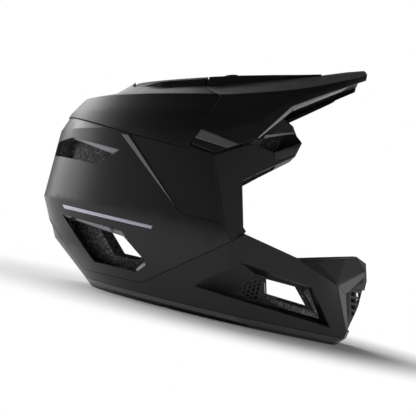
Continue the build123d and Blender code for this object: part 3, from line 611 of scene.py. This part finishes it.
def castOn(tree, starts, ways, reach=0.05):
    # where rays meet a surface, and which way it faces there; a ray that misses takes the nearest point
    points, facings = [], []
    for start, way in zip(starts.reshape(-1, 3), ways.reshape(-1, 3)):
        hit, normal, _, _ = tree.ray_cast(Vector(start), Vector(way))
        if hit is None:
            hit, normal, _, _ = tree.find_nearest(Vector(start) + Vector(way) * reach)
        if normal.dot(Vector(way)) > 0:
            normal = -normal
        points.append(hit)
        facings.append(normal)
    return np.array(points).reshape(starts.shape), np.array(facings).reshape(starts.shape)


nodeTrees = {}


def nodeTree(node):
    if node not in nodeTrees:
        nodeTrees[node] = treeOf(nodes[node].data)
    return nodeTrees[node]


# prints, and a bevel with a painted highlight, on the shells

def blendCorners(corners, cells):
    # a flat grid between four corners: each point is the blend of the corners by two shares
    a, b, c, d = [np.array(corner, float) for corner in corners]
    u = np.linspace(0, 1, cells[0] + 1)[:, None, None]
    v = np.linspace(0, 1, cells[1] + 1)[None, :, None]
    return (1 - u) * (1 - v) * a + u * (1 - v) * b + u * v * c + (1 - u) * v * d, v


patchDepth = 0.0003  # how deep a patch is sunk in what it lies on
sideReach = 0.16  # rays cast sideways start this far out


def raised(points, facings, lifts, v):
    # the outer and inner grid of a patch, whose height runs from its first edge to the far one
    height = (lifts[0] + (lifts[1] - lifts[0]) * v) * mm
    return points + facings * height, points - facings * patchDepth


silverPrint = mouldedPlastic("silverPrint", (0.42, 0.41, 0.48), 0.42, 0.05, 0.5, 0.0)
greyPrint = mouldedPlastic("greyPrint", (0.115, 0.115, 0.12), 0.5, 0.05, 0.4, 0.0)
linePrint = mouldedPlastic("linePrint", (0.030, 0.030, 0.031), 0.5, 0.05, 0.4, 0.0)
printLook = {
    # node, finish, four points of the side view in mm, heights at the first and the far edge in mm, cells
    "sideStripe{}": ("upper_shell", silverPrint,
        [(-147.7, 75.0), (-53.0, 75.2), (-53.6, 71.9), (-145.0, 71.7)], (0.12, 0.12), (90, 4)),
    "wingLabel{}": ("visor", greyPrint,
        [(-29.1, 178.6), (10.2, 173.0), (-0.4, 166.4), (-33.1, 168.7)], (0.12, 0.12), (40, 8)),
    "wingTab{}0": ("visor", linePrint,
        [(-33.1, 168.4), (-32.5, 168.2), (-34.6, 163.6), (-35.3, 163.4)], (0.12, 0.12), (24, 1)),
    "wingTab{}1": ("visor", linePrint,
        [(-35.2, 163.9), (-14.2, 160.0), (-14.4, 159.4), (-35.3, 163.3)], (0.12, 0.12), (24, 1)),
}


def layPrints(look):
    # patches between four corners of the side view, cast sideways on a shell
    for word, side in sides:
        for name, (node, finish, corners, lifts, cells) in look.items():
            flat, v = blendCorners(corners, cells)
            flat = flat * mm
            level = np.full(flat.shape[:2], side * sideReach)
            starts = np.stack([flat[..., 0], level, flat[..., 1]], axis=-1)
            ways = np.zeros_like(starts)
            ways[..., 1] = -side
            points, facings = castOn(nodeTree(node), starts, ways)
            mesh = slabMesh(name.format(word), *raised(points, facings, lifts, v))
            addPiece(name.format(word), mesh, node, finish)


layPrints(printLook)

# painted highlight: a pale copy of the shell's satin, standing in for the light the bevel catches
bevelPaintedHighlight = mouldedPlastic("bevelPaintedHighlight", (0.075, 0.077, 0.085), 0.36, 0.06, 0.5, 0.0004)
bevelLook = {
    # the raised edge that runs down the rear of the sunk panel and tapers to a point; its pale satin is a
    # painted highlight along the edge
    "panelBevel{}": ("upper_shell", bevelPaintedHighlight,
        [(-105.0, 156.3), (-35.2, 97.6), (-34.6, 97.2), (-97.4, 156.9)], (0.0, 1.3), (70, 6)),
}
layPrints(bevelLook)


# facets, lips and plates that follow points of the picture, coloured with painted light and painted shade

facetLook = {
    # painted highlight: a lighter copy of the satin on the muzzle's edges and the brow rib
    "ridge": mouldedPlastic("ridgePaintedHighlight", (0.052, 0.053, 0.059), 0.38, 0.06, 0.5, 0.0004),
    # painted light: a lighter copy of the satin on the brow facet
    "facet": mouldedPlastic("facetPaintedLight", (0.026, 0.027, 0.032), 0.40, 0.06, 0.5, 0.0004),
    # painted light: a pale copy of the satin for lips and flanges that face down towards the light from below
    "lip": mouldedPlastic("lipPaintedLight", (0.20, 0.20, 0.215), 0.40, 0.06, 0.5, 0.0003),
    # painted shade: a darker copy of the satin laid over the muzzle's top, cheek and brow
    "dark": mouldedPlastic("paintedShadeSatin", (0.0028, 0.0028, 0.0030), 0.55, 0.10, 0.22, 0.0004),
    # painted shadow: near-black laid in a seam, a pocket corner, behind the grille and on the brow bridge
    "shadow": mouldedPlastic("paintedShadowBlack", (0.0022, 0.0022, 0.0024), 0.55, 0.10, 0.2, 0.0003),
    "foam": beadFoam("windowFoam", paintedLightFoamLook),
    "patches": {
        # node, finish, four points of the picture, heights at the first and the far edge in mm
        "muzzleRidge": ("chin_guard", "ridge",
            [(337.6, 286.2), (345.7, 330.2), (347.3, 325.6), (345.4, 293.9)], (0.15, 0.7)),
        "muzzleEdge": ("chin_guard", "ridge",
            [(337.6, 286.2), (364.8, 272.0), (364.8, 276.4), (345.4, 293.9)], (0.15, 0.7)),
        "muzzleTop": ("chin_guard", "dark",
            [(300.0, 261.0), (356.6, 258.4), (364.8, 271.2), (337.4, 285.4)], (0.15, 0.15)),
        "muzzleCheek": ("chin_guard", "dark",
            [(345.8, 294.6), (349.6, 291.2), (349.3, 312.0), (347.9, 322.0)], (0.15, 0.15)),
        "muzzleBrow": ("chin_guard", "dark",
            [(350.9, 288.4), (363.6, 277.6), (362.8, 283.4), (351.6, 288.8)], (0.15, 0.15)),
        # painted shadow: covers a lit facet in the corner of the window pocket
        "windowToe": ("chin_guard", "shadow",
            [(321.8, 314.4), (330.8, 327.4), (329.4, 328.2), (318.4, 325.0)], (0.15, 0.15)),
        "browFacet": ("upper_shell", "facet",
            [(274.2, 152.6), (299.8, 146.9), (296.9, 153.2), (274.5, 160.6)], (0.2, 0.3)),
        "browLipTop": ("forehead_cover", "lip",
            [(264.8, 135.4), (293.6, 132.6), (293.2, 135.2), (264.6, 138.6)], (1.1, 0.1)),
        "browLipRear": ("forehead_cover", "lip",
            [(259.2, 144.4), (264.8, 135.4), (265.8, 137.0), (260.8, 144.8)], (0.9, 0.1)),
        "browLipFront": ("forehead_cover", "lip",
            [(293.6, 132.6), (296.8, 139.0), (295.7, 139.6), (292.6, 135.2)], (0.9, 0.1)),
        "browRib": ("forehead_cover", "ridge",
            [(277.4, 129.2), (277.9, 129.2), (285.2, 133.0), (271.0, 134.6)], (0.1, 1.0)),
        # painted shadow: dark lines along the rear seam, where shade falls between the parts
        "rearSeamUpper": ("upper_shell", "shadow",
            [(48.6, 216.4), (67.8, 249.0), (66.7, 249.7), (47.6, 217.0)], (0.12, 0.12)),
        "rearSeamLower": ("upper_shell", "shadow",
            [(67.8, 249.0), (84.0, 268.6), (83.0, 269.4), (66.7, 249.7)], (0.12, 0.12)),
    },
    "patchCells": (40, 24),
    "cells": (28, 4),
    "flanges": {
        # node, points of the picture along the edge and back along the flange, how far it leans in, in mm
        "wingFlangeRear": ("visor", [(257.7, 137.6), (291.7, 105.9), (291.7, 111.4), (258.6, 138.4)], 3.5),
        "wingFlangeFront": ("visor", [(291.7, 105.9), (348.6, 87.1), (341.4, 91.4), (291.7, 111.4)], 3.5),
        "rearVentLip": ("upper_shell", [(75.0, 138.4), (119.9, 150.2), (113.6, 154.2), (75.2, 139.4)], 5.0),
        "sideVentLip": ("upper_shell", [(64.2, 215.3), (121.9, 232.5), (126.3, 237.4), (66.4, 217.4)], 5.0),
        "sideVentToe": ("upper_shell", [(146.9, 262.8), (137.4, 270.9), (135.8, 269.0), (144.8, 261.4)], 4.0),
    },
    "probes": {
        # from the edge to the surface beside it, in pixels
        "visor": (-0.9, -1.4),
        "upper_shell": (0.4, -1.6),
        "sideVentToe": (1.2, 1.4),
    },
    "flangeSink": 0.9,
    "flangeWall": 1.3,
    "plates": {
        # points of the picture, how far from the middle plane the plate lies in mm, and its finish
        # painted light: the window foam in the lighter copy of the foam
        "windowFoamLow": ([(266.5, 297.2), (315.0, 311.8), (318.6, 318.6), (268.4, 304.6)], 66.0, "foam"),
        "windowFoamFront": ([(303.5, 291.0), (308.6, 289.6), (319.0, 317.6), (315.0, 311.8)], 66.0, "foam"),
        # painted shadow: a black plate behind the grille, so that its holes look dark
        "grilleBacking": ([(230.0, 296.5), (256.0, 273.0), (263.2, 277.0), (262.0, 300.0)], 72.0, "shadow"),
    },
    "plateWall": 3.0,
}
cameraReach = 1.25  # from the camera to about the near side


def pictureRays(spots, setup):
    # the camera's rays through points of the picture, in pixels from its upper left corner
    right, top, aim = [np.array(axis) for axis in cameraAxes(setup)]
    half = setup["picture"] / 2
    ways = unit(aim * setup["focal"] + (spots[..., :1] - half) * right - (spots[..., 1:] - half) * top)
    return np.broadcast_to((setup["lookX"], -setup["distance"], setup["lookZ"]), ways.shape), ways


def bothSides(name, outer, inner, home, finish):
    # the same slab on the right side, where the camera stands, and mirrored on the left
    for word, side in sides:
        flip = (1, -side, 1)
        addPiece(name + word, slabMesh(name + word, outer * flip, inner * flip), home, finish)


def makePatches(look):
    for name, (node, finish, corners, lifts) in look["patches"].items():
        flat, v = blendCorners(corners, look["patchCells"])
        points, facings = castOn(nodeTree(node), *pictureRays(flat, cameraSetup), cameraReach)
        bothSides(name, *raised(points, facings, lifts, v), node, look[finish])


def hangSlab(name, flat, planes, wall, home, finish):
    # a slab where the camera's rays meet planes that lie at given distances from the middle plane
    starts, ways = pictureRays(flat, cameraSetup)
    outer = starts + ways * ((-planes - starts[..., 1]) / ways[..., 1])[..., None]
    bothSides(name, outer, outer + np.array((0, wall * mm, 0)), home, finish)


def makeFlanges(look):
    # a bevel that starts inside an edge of a shell, passes out below it and leans inward, in the pale lip
    # finish that paints the light it would catch from below
    for name, (node, corners, lean) in look["flanges"].items():
        flat, v = blendCorners(corners, look["cells"])
        probe = np.array(look["probes"].get(name, look["probes"][node]))
        starts, ways = pictureRays(flat[:, :1] + probe, cameraSetup)
        edge = -castOn(nodeTree(node), starts, ways, cameraReach)[0][..., 1]
        flat[:, 0] += probe
        planes = edge - (look["flangeSink"] + v[..., 0] * lean) * mm
        hangSlab(name, flat, planes, look["flangeWall"], node, look["lip"])


def makePlates(look):
    for name, (corners, depth, finish) in look["plates"].items():
        flat, _ = blendCorners(corners, look["cells"])
        home = "foam" if finish == "foam" else "chin_guard"
        hangSlab(name, flat, np.full(flat.shape[:2], depth * mm), look["plateWall"], home, look[finish])


makePatches(facetLook)
makeFlanges(facetLook)
makePlates(facetLook)
print("stage: facets, lips and plates")


# raised spine on the roof, its lock screw, and the bridge in the brow vent

spineLook = {
    "finish": mouldedPlastic("matteSpine", (0.0045, 0.0045, 0.0048), 0.62, 0.12, 0.16, 0.0007),
    "halfWidths": [(-109.0, 26.0), (-81.0, 42.0), (-55.0, 44.0), (-24.0, 45.0), (40.0, 43.0), (76.8, 37.0)],
    "proud": 0.5,  # above the roof's middle line
    "rise": (-109.0, -98.0),  # over this run from its rear end it comes up to that height
    "falls": [(-109.0, 0.28), (-84.0, 0.12)],  # from mm along, how much lower per mm across
    "sink": 0.5,
    "least": 0.0002,  # it stands at least this much above the roof
    "above": 0.4,  # the rays start at this height
    "slot": (-31.5, -7.0),  # here the lock screw's slot goes through the roof's middle
    "parts": {
        # roof under it, from and to in mm
        "crownSpine": ("crown_cover", -109.0, -37.8),
        "visorSpine": ("visor", -35.2, 76.8),
    },
    "cells": (48, 16),
}


def makeSpine(look):
    # top height = the roof's middle height + a little - fall * distance across; the foot follows the roof
    stations, halves = np.array(look["halfWidths"]).T
    for name, (roof, start, stop) in look["parts"].items():
        u = np.linspace(start, stop, look["cells"][0] + 1)
        v = np.linspace(-1, 1, look["cells"][1] + 1)
        x = np.repeat(u[:, None], len(v), axis=1) * mm
        y = np.interp(u, stations, halves)[:, None] * v[None] * mm
        high = np.full(x.shape, look["above"])
        down = np.broadcast_to((0.0, 0.0, -1.0), (*x.shape, 3))
        foot = castOn(nodeTree(roof), np.stack([x, y, high], axis=-1), down)[0][..., 2]
        clear = (u < look["slot"][0]) | (u > look["slot"][1])
        middle = np.interp(u, u[clear], foot[clear, len(v) // 2])[:, None]
        foot = np.minimum(foot, middle)
        fall = np.interp(u, *np.array(look["falls"]).T)[:, None]
        proud = np.interp(u, look["rise"], (0.0, look["proud"]))[:, None]
        top = np.maximum(middle + proud * mm - fall * np.abs(y), foot + look["least"])
        outer = np.stack([x, y, top], axis=-1)
        inner = np.stack([x, y, foot - look["sink"] * mm], axis=-1)
        shadeByAngle(addPiece(name, slabMesh(name, outer, inner), roof, look["finish"]))


makeSpine(spineLook)

screwLook = {
    "seat": (-0.014, 0.0, 0.249305),
    "lean": 16.47,
    "base": -0.0004,  # the head's underside, from the screw's seat
    "head": 0.0011,
    "radius": 0.0075,
    "grips": 20,
    "gripShare": 0.03,
    "socket": 0.0026,
    "socketDepth": 0.0009,
    "shank": 0.0024,
    "shankEnd": -0.0164,
    "chamfer": 0.0002,
    "rounding": 0.0003,
    "turns": 240,
}


def makeScrew(look):
    # rings round the axis, from the hexagon socket over the head's rim and down the shank:
    # a ring's radius is its share times the hexagon's or the gripped circle's own radius at that turn
    turn = np.linspace(0, 2 * pi, look["turns"], endpoint=False)
    hexagon = look["socket"] / np.cos((turn % (pi / 3)) - pi / 6)
    gripped = look["radius"] * (1 - look["gripShare"] * (0.5 + 0.5 * np.cos(look["grips"] * turn)) ** 3)
    plain = np.full_like(turn, look["radius"])
    shank = np.full_like(turn, look["shank"])
    head, base, end = look["head"], look["base"], look["shankEnd"]
    floor, drop = head - look["socketDepth"], look["rounding"]
    rings = [(hexagon * 0.02, floor), (hexagon, floor), (hexagon * 1.01, head - look["chamfer"]),
             (hexagon * 1.08, head), (plain * 0.90, head), (gripped * 0.985, head - drop),
             (gripped, head - drop * 2), (gripped, base), (shank, base), (shank, end), (shank * 0.02, end)]
    radii = np.stack([ring for ring, _ in rings])
    heights = np.array([height for _, height in rings])[:, None] + 0 * radii
    flat = np.stack([radii * np.cos(turn), radii * np.sin(turn), heights], axis=-1)
    lean = radians(look["lean"])
    turned = np.array(((cos(lean), 0, -sin(lean)), (0, 1, 0), (sin(lean), 0, cos(lean))))
    mesh = closedMesh("lockScrew", flat @ turned.T + np.array(look["seat"]), ringFaces(*radii.shape))
    piece = addPiece("lockScrew", mesh, "lock", finishes["visor_lock_screw"])
    shadeByAngle(piece)
    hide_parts("visor_lock_screw")


makeScrew(screwLook)

bridgeLook = {
    "outline": [(49.0, 182.0), (51.5, 196.5), (58.0, 199.5), (66.0, 203.0), (74.2, 196.6), (73.4, 194.6)],
    "half": 24.0,
    "bow": 0.0016,  # how the front draws back, per mm squared across
    "steps": 13,
}


def makeBridge(look):
    # the outline of the side view carried across the middle, drawn back by bow * distance squared
    outline = np.array(look["outline"])
    across = np.linspace(-look["half"], look["half"], look["steps"])
    spots = np.zeros((len(across), len(outline), 3))
    spots[..., 0] = outline[:, 0] - look["bow"] * across[:, None] ** 2
    spots[..., 1] = across[:, None]
    spots[..., 2] = outline[:, 1]
    mesh = closedMesh("browBridge", spots * mm, ringFaces(len(across), len(outline)), False)
    # the bridge wears the painted-shadow black, so that the vent behind it reads as shade
    addPiece("browBridge", mesh, "forehead_cover", facetLook["shadow"])


makeBridge(bridgeLook)
print("stage: spine, lock screw and brow bridge")


# pads

padLook = {
    "fabric": knitFabric("padKnit", (0.022, 0.022, 0.024)),
    "piping": knitFabric("padPiping", (0.012, 0.012, 0.013), 1400.0),
    "thread": mouldedPlastic("padThread", (0.09, 0.09, 0.095), 0.7, 0.3, 0.3, 0.0),
    "pads": {
        # CAD node, voxel in metres, pressure, most swell in metres, fill
        "cheekPadLeft": ("cheek_pad_left", 0.0032, 4.0, 0.0050, 0.8),
        "cheekPadRight": ("cheek_pad_right", 0.0032, 4.0, 0.0050, 0.8),
        "browPad": ("brow_pad", 0.0024, 4.0, 0.0022, 0.7),
        "neckRoll": ("neck_roll", 0.0028, 4.0, 0.0034, 0.7),
        "crownPads": ("crown_pads", 0.0020, 4.0, 0.0018, 0.6),
    },
    "easing": (0.5, 4),  # factor and repeats
    "quality": 4,
    "frames": 20,
    "shrink": 0.0009,
    "headMiddle": (-0.03, 0.0, 0.09),
    "backShare": 0.12,  # how much of the swell is let out on the side that lies on the foam
    "quickShare": 0.6,  # without the simulation each point moves by this share of the most
}


def settle(piece):
    # what the modifiers make becomes the mesh itself
    bpy.context.view_layer.update()
    graph = bpy.context.evaluated_depsgraph_get()
    mesh = bpy.data.meshes.new_from_object(piece.evaluated_get(graph), depsgraph=graph)
    piece.modifiers.clear()
    piece.data = mesh


def padCopy(name, node, voxel, look):
    # the solid's own mesh, merged and remeshed, its corners eased, then drawn in a little all round
    piece = bpy.data.objects.new(name, joined(name, [nodes[node].data], nodeWeld))
    bpy.context.scene.collection.objects.link(piece)
    grid = piece.modifiers.new("voxels", "REMESH")
    grid.mode = "VOXEL"
    grid.voxel_size = voxel
    ease = piece.modifiers.new("ease", "SMOOTH")
    ease.factor, ease.iterations = look["easing"]
    settle(piece)
    mesh = piece.data
    points = readVectors(mesh, "co") - readVectors(mesh, "normal") * look["shrink"]
    mesh.vertices.foreach_set("co", points.ravel())
    mesh.update()
    return piece


def swell(piece, pressure, cap, look):
    # air pressure rounds the pad; no point moves further than the cap, and hardly at all towards the foam
    start, facings = readVectors(piece.data, "co"), readVectors(piece.data, "normal")
    outward = unit(start - np.array(look["headMiddle"]))
    cloth = piece.modifiers.new("air", "CLOTH")
    cloth.settings.use_pressure = True
    cloth.settings.uniform_pressure_force = pressure
    cloth.settings.effector_weights.gravity = 0
    cloth.settings.quality = look["quality"]
    cloth.point_cache.frame_start = 1
    cloth.point_cache.frame_end = look["frames"]
    for frameNumber in range(1, look["frames"] + 1):
        bpy.context.scene.frame_set(frameNumber)
    settle(piece)
    bpy.context.scene.frame_set(1)
    moved = readVectors(piece.data, "co") - start
    length = np.linalg.norm(moved, axis=1, keepdims=True)
    moved *= np.minimum(1, cap / np.maximum(length, 1e-9))
    towardsFoam = np.clip((facings * outward).sum(1, keepdims=True), 0, 1)
    moved *= 1 - towardsFoam * (1 - look["backShare"])
    piece.data.vertices.foreach_set("co", (start + moved).ravel())
    piece.data.update()
    piece.data.polygons.foreach_set("use_smooth", np.full(len(piece.data.polygons), True))
    rounder = piece.modifiers.new("round", "SUBSURF")
    rounder.levels = 1
    rounder.render_levels = 1
    settle(piece)


def makePads(look):
    made = {}
    for name, (node, voxel, pressure, cap, fill) in look["pads"].items():
        piece = padCopy(name, node, voxel, look)
        swell(piece, pressure, cap, look)
        piece.data.materials.clear()
        piece.data.materials.append(look["fabric"])
        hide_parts(node)
        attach(piece, "helmet")
        made[name] = treeOf(piece.data)
    return made


padTrees = makePads(padLook)
print("stage: pads swollen")


seamLook = {
    "cheek": [(-40.0, 26.0), (-34.0, 84.0), (-14.0, 89.0), (12.0, 84.0),
              (24.0, 56.0), (26.0, 26.0), (10.0, 20.0), (-26.0, 20.0)],
    "steps": 150,
    "cheekEasings": 6,  # rounds the corners
    "pathEasings": 2,  # so that the piping doesn't follow single faces
    "piping": (0.0010, 0.35, 8),  # radius, the share of it that is sunk, points round it
    "inset": 0.80,  # the line of stitches, as a share of the piping's distance from the middle
    "every": 0.0040,
    "long": 0.0024,
    "thick": 0.00035,
    "arcs": {
        # pad, the arc's middle in metres, where it faces and half its turn in degrees, points, heights in mm
        "browStitch": ("browPad", -0.03, 0, 62.0, 90, (157.5, 176.0)),
        "neckStitch": ("neckRoll", 0.0, 180, 24.0, 60, (20.0, 42.0)),
    },
    "crownStrips": (-0.040, 0.0, 0.040),
    "crownHalf": 0.0085,
    "crownRun": (-0.098, 0.010, 60),  # from, to and points
    "crownLow": 0.12,
}


def pipingOn(name, tree, starts, ways, look):
    # a closed cord laid round a pad
    points, facings = castOn(tree, starts, ways)
    for _ in range(look["pathEasings"]):
        points = smoothed(points)
    radius, sink, around = look["piping"]
    mesh = tubeMesh(name, points - facings * radius * sink, facings, radius, around, True)
    addPiece(name, mesh, "pad", padLook["piping"])


def stitchesOn(name, tree, starts, ways, look):
    # short rods one after another along a line on the pad
    points, facings = castOn(tree, starts, ways)
    length = np.linalg.norm(np.diff(points, axis=0), axis=1).sum()
    line = alongLine(points, max(4, int(length / look["every"])))
    facing = facings[np.linspace(0, len(facings) - 1, len(line)).astype(int)]
    along = np.array([-0.5, -0.3, 0.3, 0.5])[:, None] * look["long"]
    rise = np.array([-0.5, 0.7, 0.7, -0.5])[:, None]
    meshes = []
    for middle, way, up in zip(line, unit(np.gradient(line, axis=0)), facing):
        rod = middle + along * way + up * rise * look["thick"]
        meshes.append(tubeMesh("stitch", rod, np.tile(up, (4, 1)), look["thick"], 5))
    addPiece(name, joined(name, meshes), "pad", padLook["thread"])


def makeSeams(look):
    line = alongLine(look["cheek"] + look["cheek"][:1], look["steps"])[:-1]
    for _ in range(look["cheekEasings"]):
        line = smoothed(line)
    middle = line.mean(axis=0)
    inner = middle + (line - middle) * look["inset"]
    for word, side in sides:
        tree = padTrees["cheekPad" + word]
        ways = np.tile((0.0, side, 0.0), (len(line), 1))
        for name, lay, flat in (("cheekPiping", pipingOn, line), ("cheekStitch", stitchesOn, inner)):
            starts = np.stack([flat[:, 0] * mm, np.zeros(len(flat)), flat[:, 1] * mm], axis=-1)
            lay(name + word, tree, starts, ways, look)
    for name, (pad, middleX, facing, half, count, heights) in look["arcs"].items():
        turn = np.radians(facing + np.linspace(-half, half, count))
        ways = np.stack([np.cos(turn), np.sin(turn), np.zeros(count)], axis=-1)
        for place, height in enumerate(heights):
            starts = np.tile((middleX, 0.0, height * mm), (count, 1))
            stitchesOn(f"{name}{place}", padTrees[pad], starts, ways, look)
    reach = np.linspace(*look["crownRun"])
    ways = np.tile((0.0, 0.0, 1.0), (len(reach), 1))
    for place, across in enumerate(look["crownStrips"]):
        for letter, edge in (("a", -1), ("b", 1)):
            level = np.full(len(reach), across + edge * look["crownHalf"])
            starts = np.stack([reach, level, np.full(len(reach), look["crownLow"])], axis=-1)
            stitchesOn(f"crownStitch{place}{letter}", padTrees["crownPads"], starts, ways, look)


makeSeams(seamLook)
print("stage: seams and stitches")


# chin strap

strapLook = {
    "webbing": wovenWebbing("chinWebbing", webbingLook),
    "middleX": -0.010,
    "width": 0.0196,
    "thick": 0.0015,
    "corners": [(0.0795, 0.0662), (0.0795, 0.0135), (0.0620, 0.0072)],  # y and z, from the anchor down
    "ends": {"Left": 0.0080, "Right": 0.0160},
    "bend": (0.008, 14),  # from where it starts to the corner, and its points
    "section": (140, 48),  # rings along, and points round each
    "mapStart": 0.05,
    "fold": (0.030, 0.047),  # the end that is folded back and sewn down below its anchor
    "margin": 0.0025,
    "tackStart": 0.012,
    "tackRows": (0.0, 0.0035, 0.007),
    "stitch": 0.0022,
    "thread": 0.0004,
}


def roundedPath(corners, bend, steps):
    # straight runs joined by quadratic curves that start a bend's length before each corner
    corners = np.array(corners, float)
    parts = [corners[:1]]
    share = np.linspace(0, 1, steps)[:, None]
    for before, here, after in zip(corners[:-2], corners[1:-1], corners[2:]):
        back, on = before - here, after - here
        reach = min(bend, np.linalg.norm(back) / 2, np.linalg.norm(on) / 2)
        start, stop = here + unit(back) * reach, here + unit(on) * reach
        parts.append((1 - share) ** 2 * start + 2 * share * (1 - share) * here + share ** 2 * stop)
    parts.append(corners[-1:])
    return np.concatenate(parts)


def bandMesh(name, path, side, look):
    # flat webbing: a flattened oval section, thicker along both selvedges, carried along a path of (y, z)
    rows, around = look["section"]
    line = alongLine(path, rows)
    ahead = unit(np.gradient(line, axis=0))
    out = np.stack([-ahead[:, 1], ahead[:, 0]], axis=-1)
    turn = np.linspace(0, 2 * pi, around, endpoint=False)
    across = np.sign(np.cos(turn)) * np.abs(np.cos(turn)) ** 0.35
    up = np.sign(np.sin(turn)) * np.abs(np.sin(turn)) ** 0.6 * (0.88 + 0.12 * np.abs(across) ** 8)
    ripple = 1 + 0.02 * np.sin(np.arange(rows) * 1.3)[:, None]
    x = look["middleX"] + across[None] * look["width"] / 2 * np.ones((rows, 1))
    lift = up[None] * look["thick"] / 2 * ripple
    y = (line[:, :1] + out[:, :1] * lift) * side
    z = line[:, 1:] + out[:, 1:] * lift
    mesh = closedMesh(name, np.stack([x, y, z], axis=-1), ringFaces(rows, around))
    # the map in metres: across the webbing, and along it
    covered = np.concatenate([[0], np.cumsum(np.linalg.norm(np.diff(line, axis=0), axis=1))])
    spots = readVectors(mesh, "co")
    flat = np.stack([spots[:, 1] * side, spots[:, 2]], axis=-1)
    nearest = ((flat[:, None] - line[None]) ** 2).sum(-1).argmin(1)
    corner = np.empty(len(mesh.loops), dtype=int)
    mesh.loops.foreach_get("vertex_index", corner)
    mapped = np.stack([spots[:, 0] - look["middleX"] + look["mapStart"], covered[nearest]], axis=-1)
    mesh.uv_layers.new(name=webbingLook["map"]).data.foreach_set("uv", mapped[corner].ravel())
    return mesh


def sewOn(name, lines, side, facing, look):
    # rows of thread across the webbing, each a bent rod
    meshes = []
    flip = (1, side, 1)
    up, thick = np.array(facing) * flip, look["thread"]
    rise = np.array([-0.6, 0.6, 0.6, -0.6])[:, None]
    for start, stop in lines:
        start, stop = np.array(start) * flip, np.array(stop) * flip
        count = max(2, int(np.linalg.norm(stop - start) / look["stitch"]))
        for row in (np.arange(count)[:, None] + np.array([0.12, 0.3, 0.7, 0.88])[None]) / count:
            rod = start + (stop - start) * row[:, None] + up * rise * thick
            meshes.append(tubeMesh("thread", rod, np.tile(up, (4, 1)), thick, 5))
    addPiece(name, joined(name, meshes), "strap", padLook["thread"])


def makeStraps(look):
    half = look["width"] / 2 - look["margin"]
    left, right = look["middleX"] - half, look["middleX"] + half
    inside, floor = look["corners"][0][0] - look["thick"] / 2, look["corners"][-1][1] - look["thick"] / 2
    a, b, c, d = [(x, inside, z) for z in look["fold"] for x in (left, right)]
    for word, side in sides:
        name, end = "chinStrap" + word, look["ends"][word]
        path = roundedPath(look["corners"] + [(end, look["corners"][-1][1])], *look["bend"])
        piece = addPiece(name, bandMesh(name, path, side, look), "strap", look["webbing"])
        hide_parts("strap_" + word.lower())
        # a sewn box with both its diagonals, and rows that tack the end by the buckle
        sewOn("strapStitch" + word, [(a, b), (c, d), (a, c), (b, d), (a, d), (b, c)], side, (0, -1, 0), look)
        tacks = [end + look["tackStart"] + step for step in look["tackRows"]]
        rows = [((left, y, floor), (right, y, floor)) for y in tacks]
        sewOn("strapTack" + word, rows, side, (0, 0, -1), look)


makeStraps(strapLook)
print("stage: chin strap")
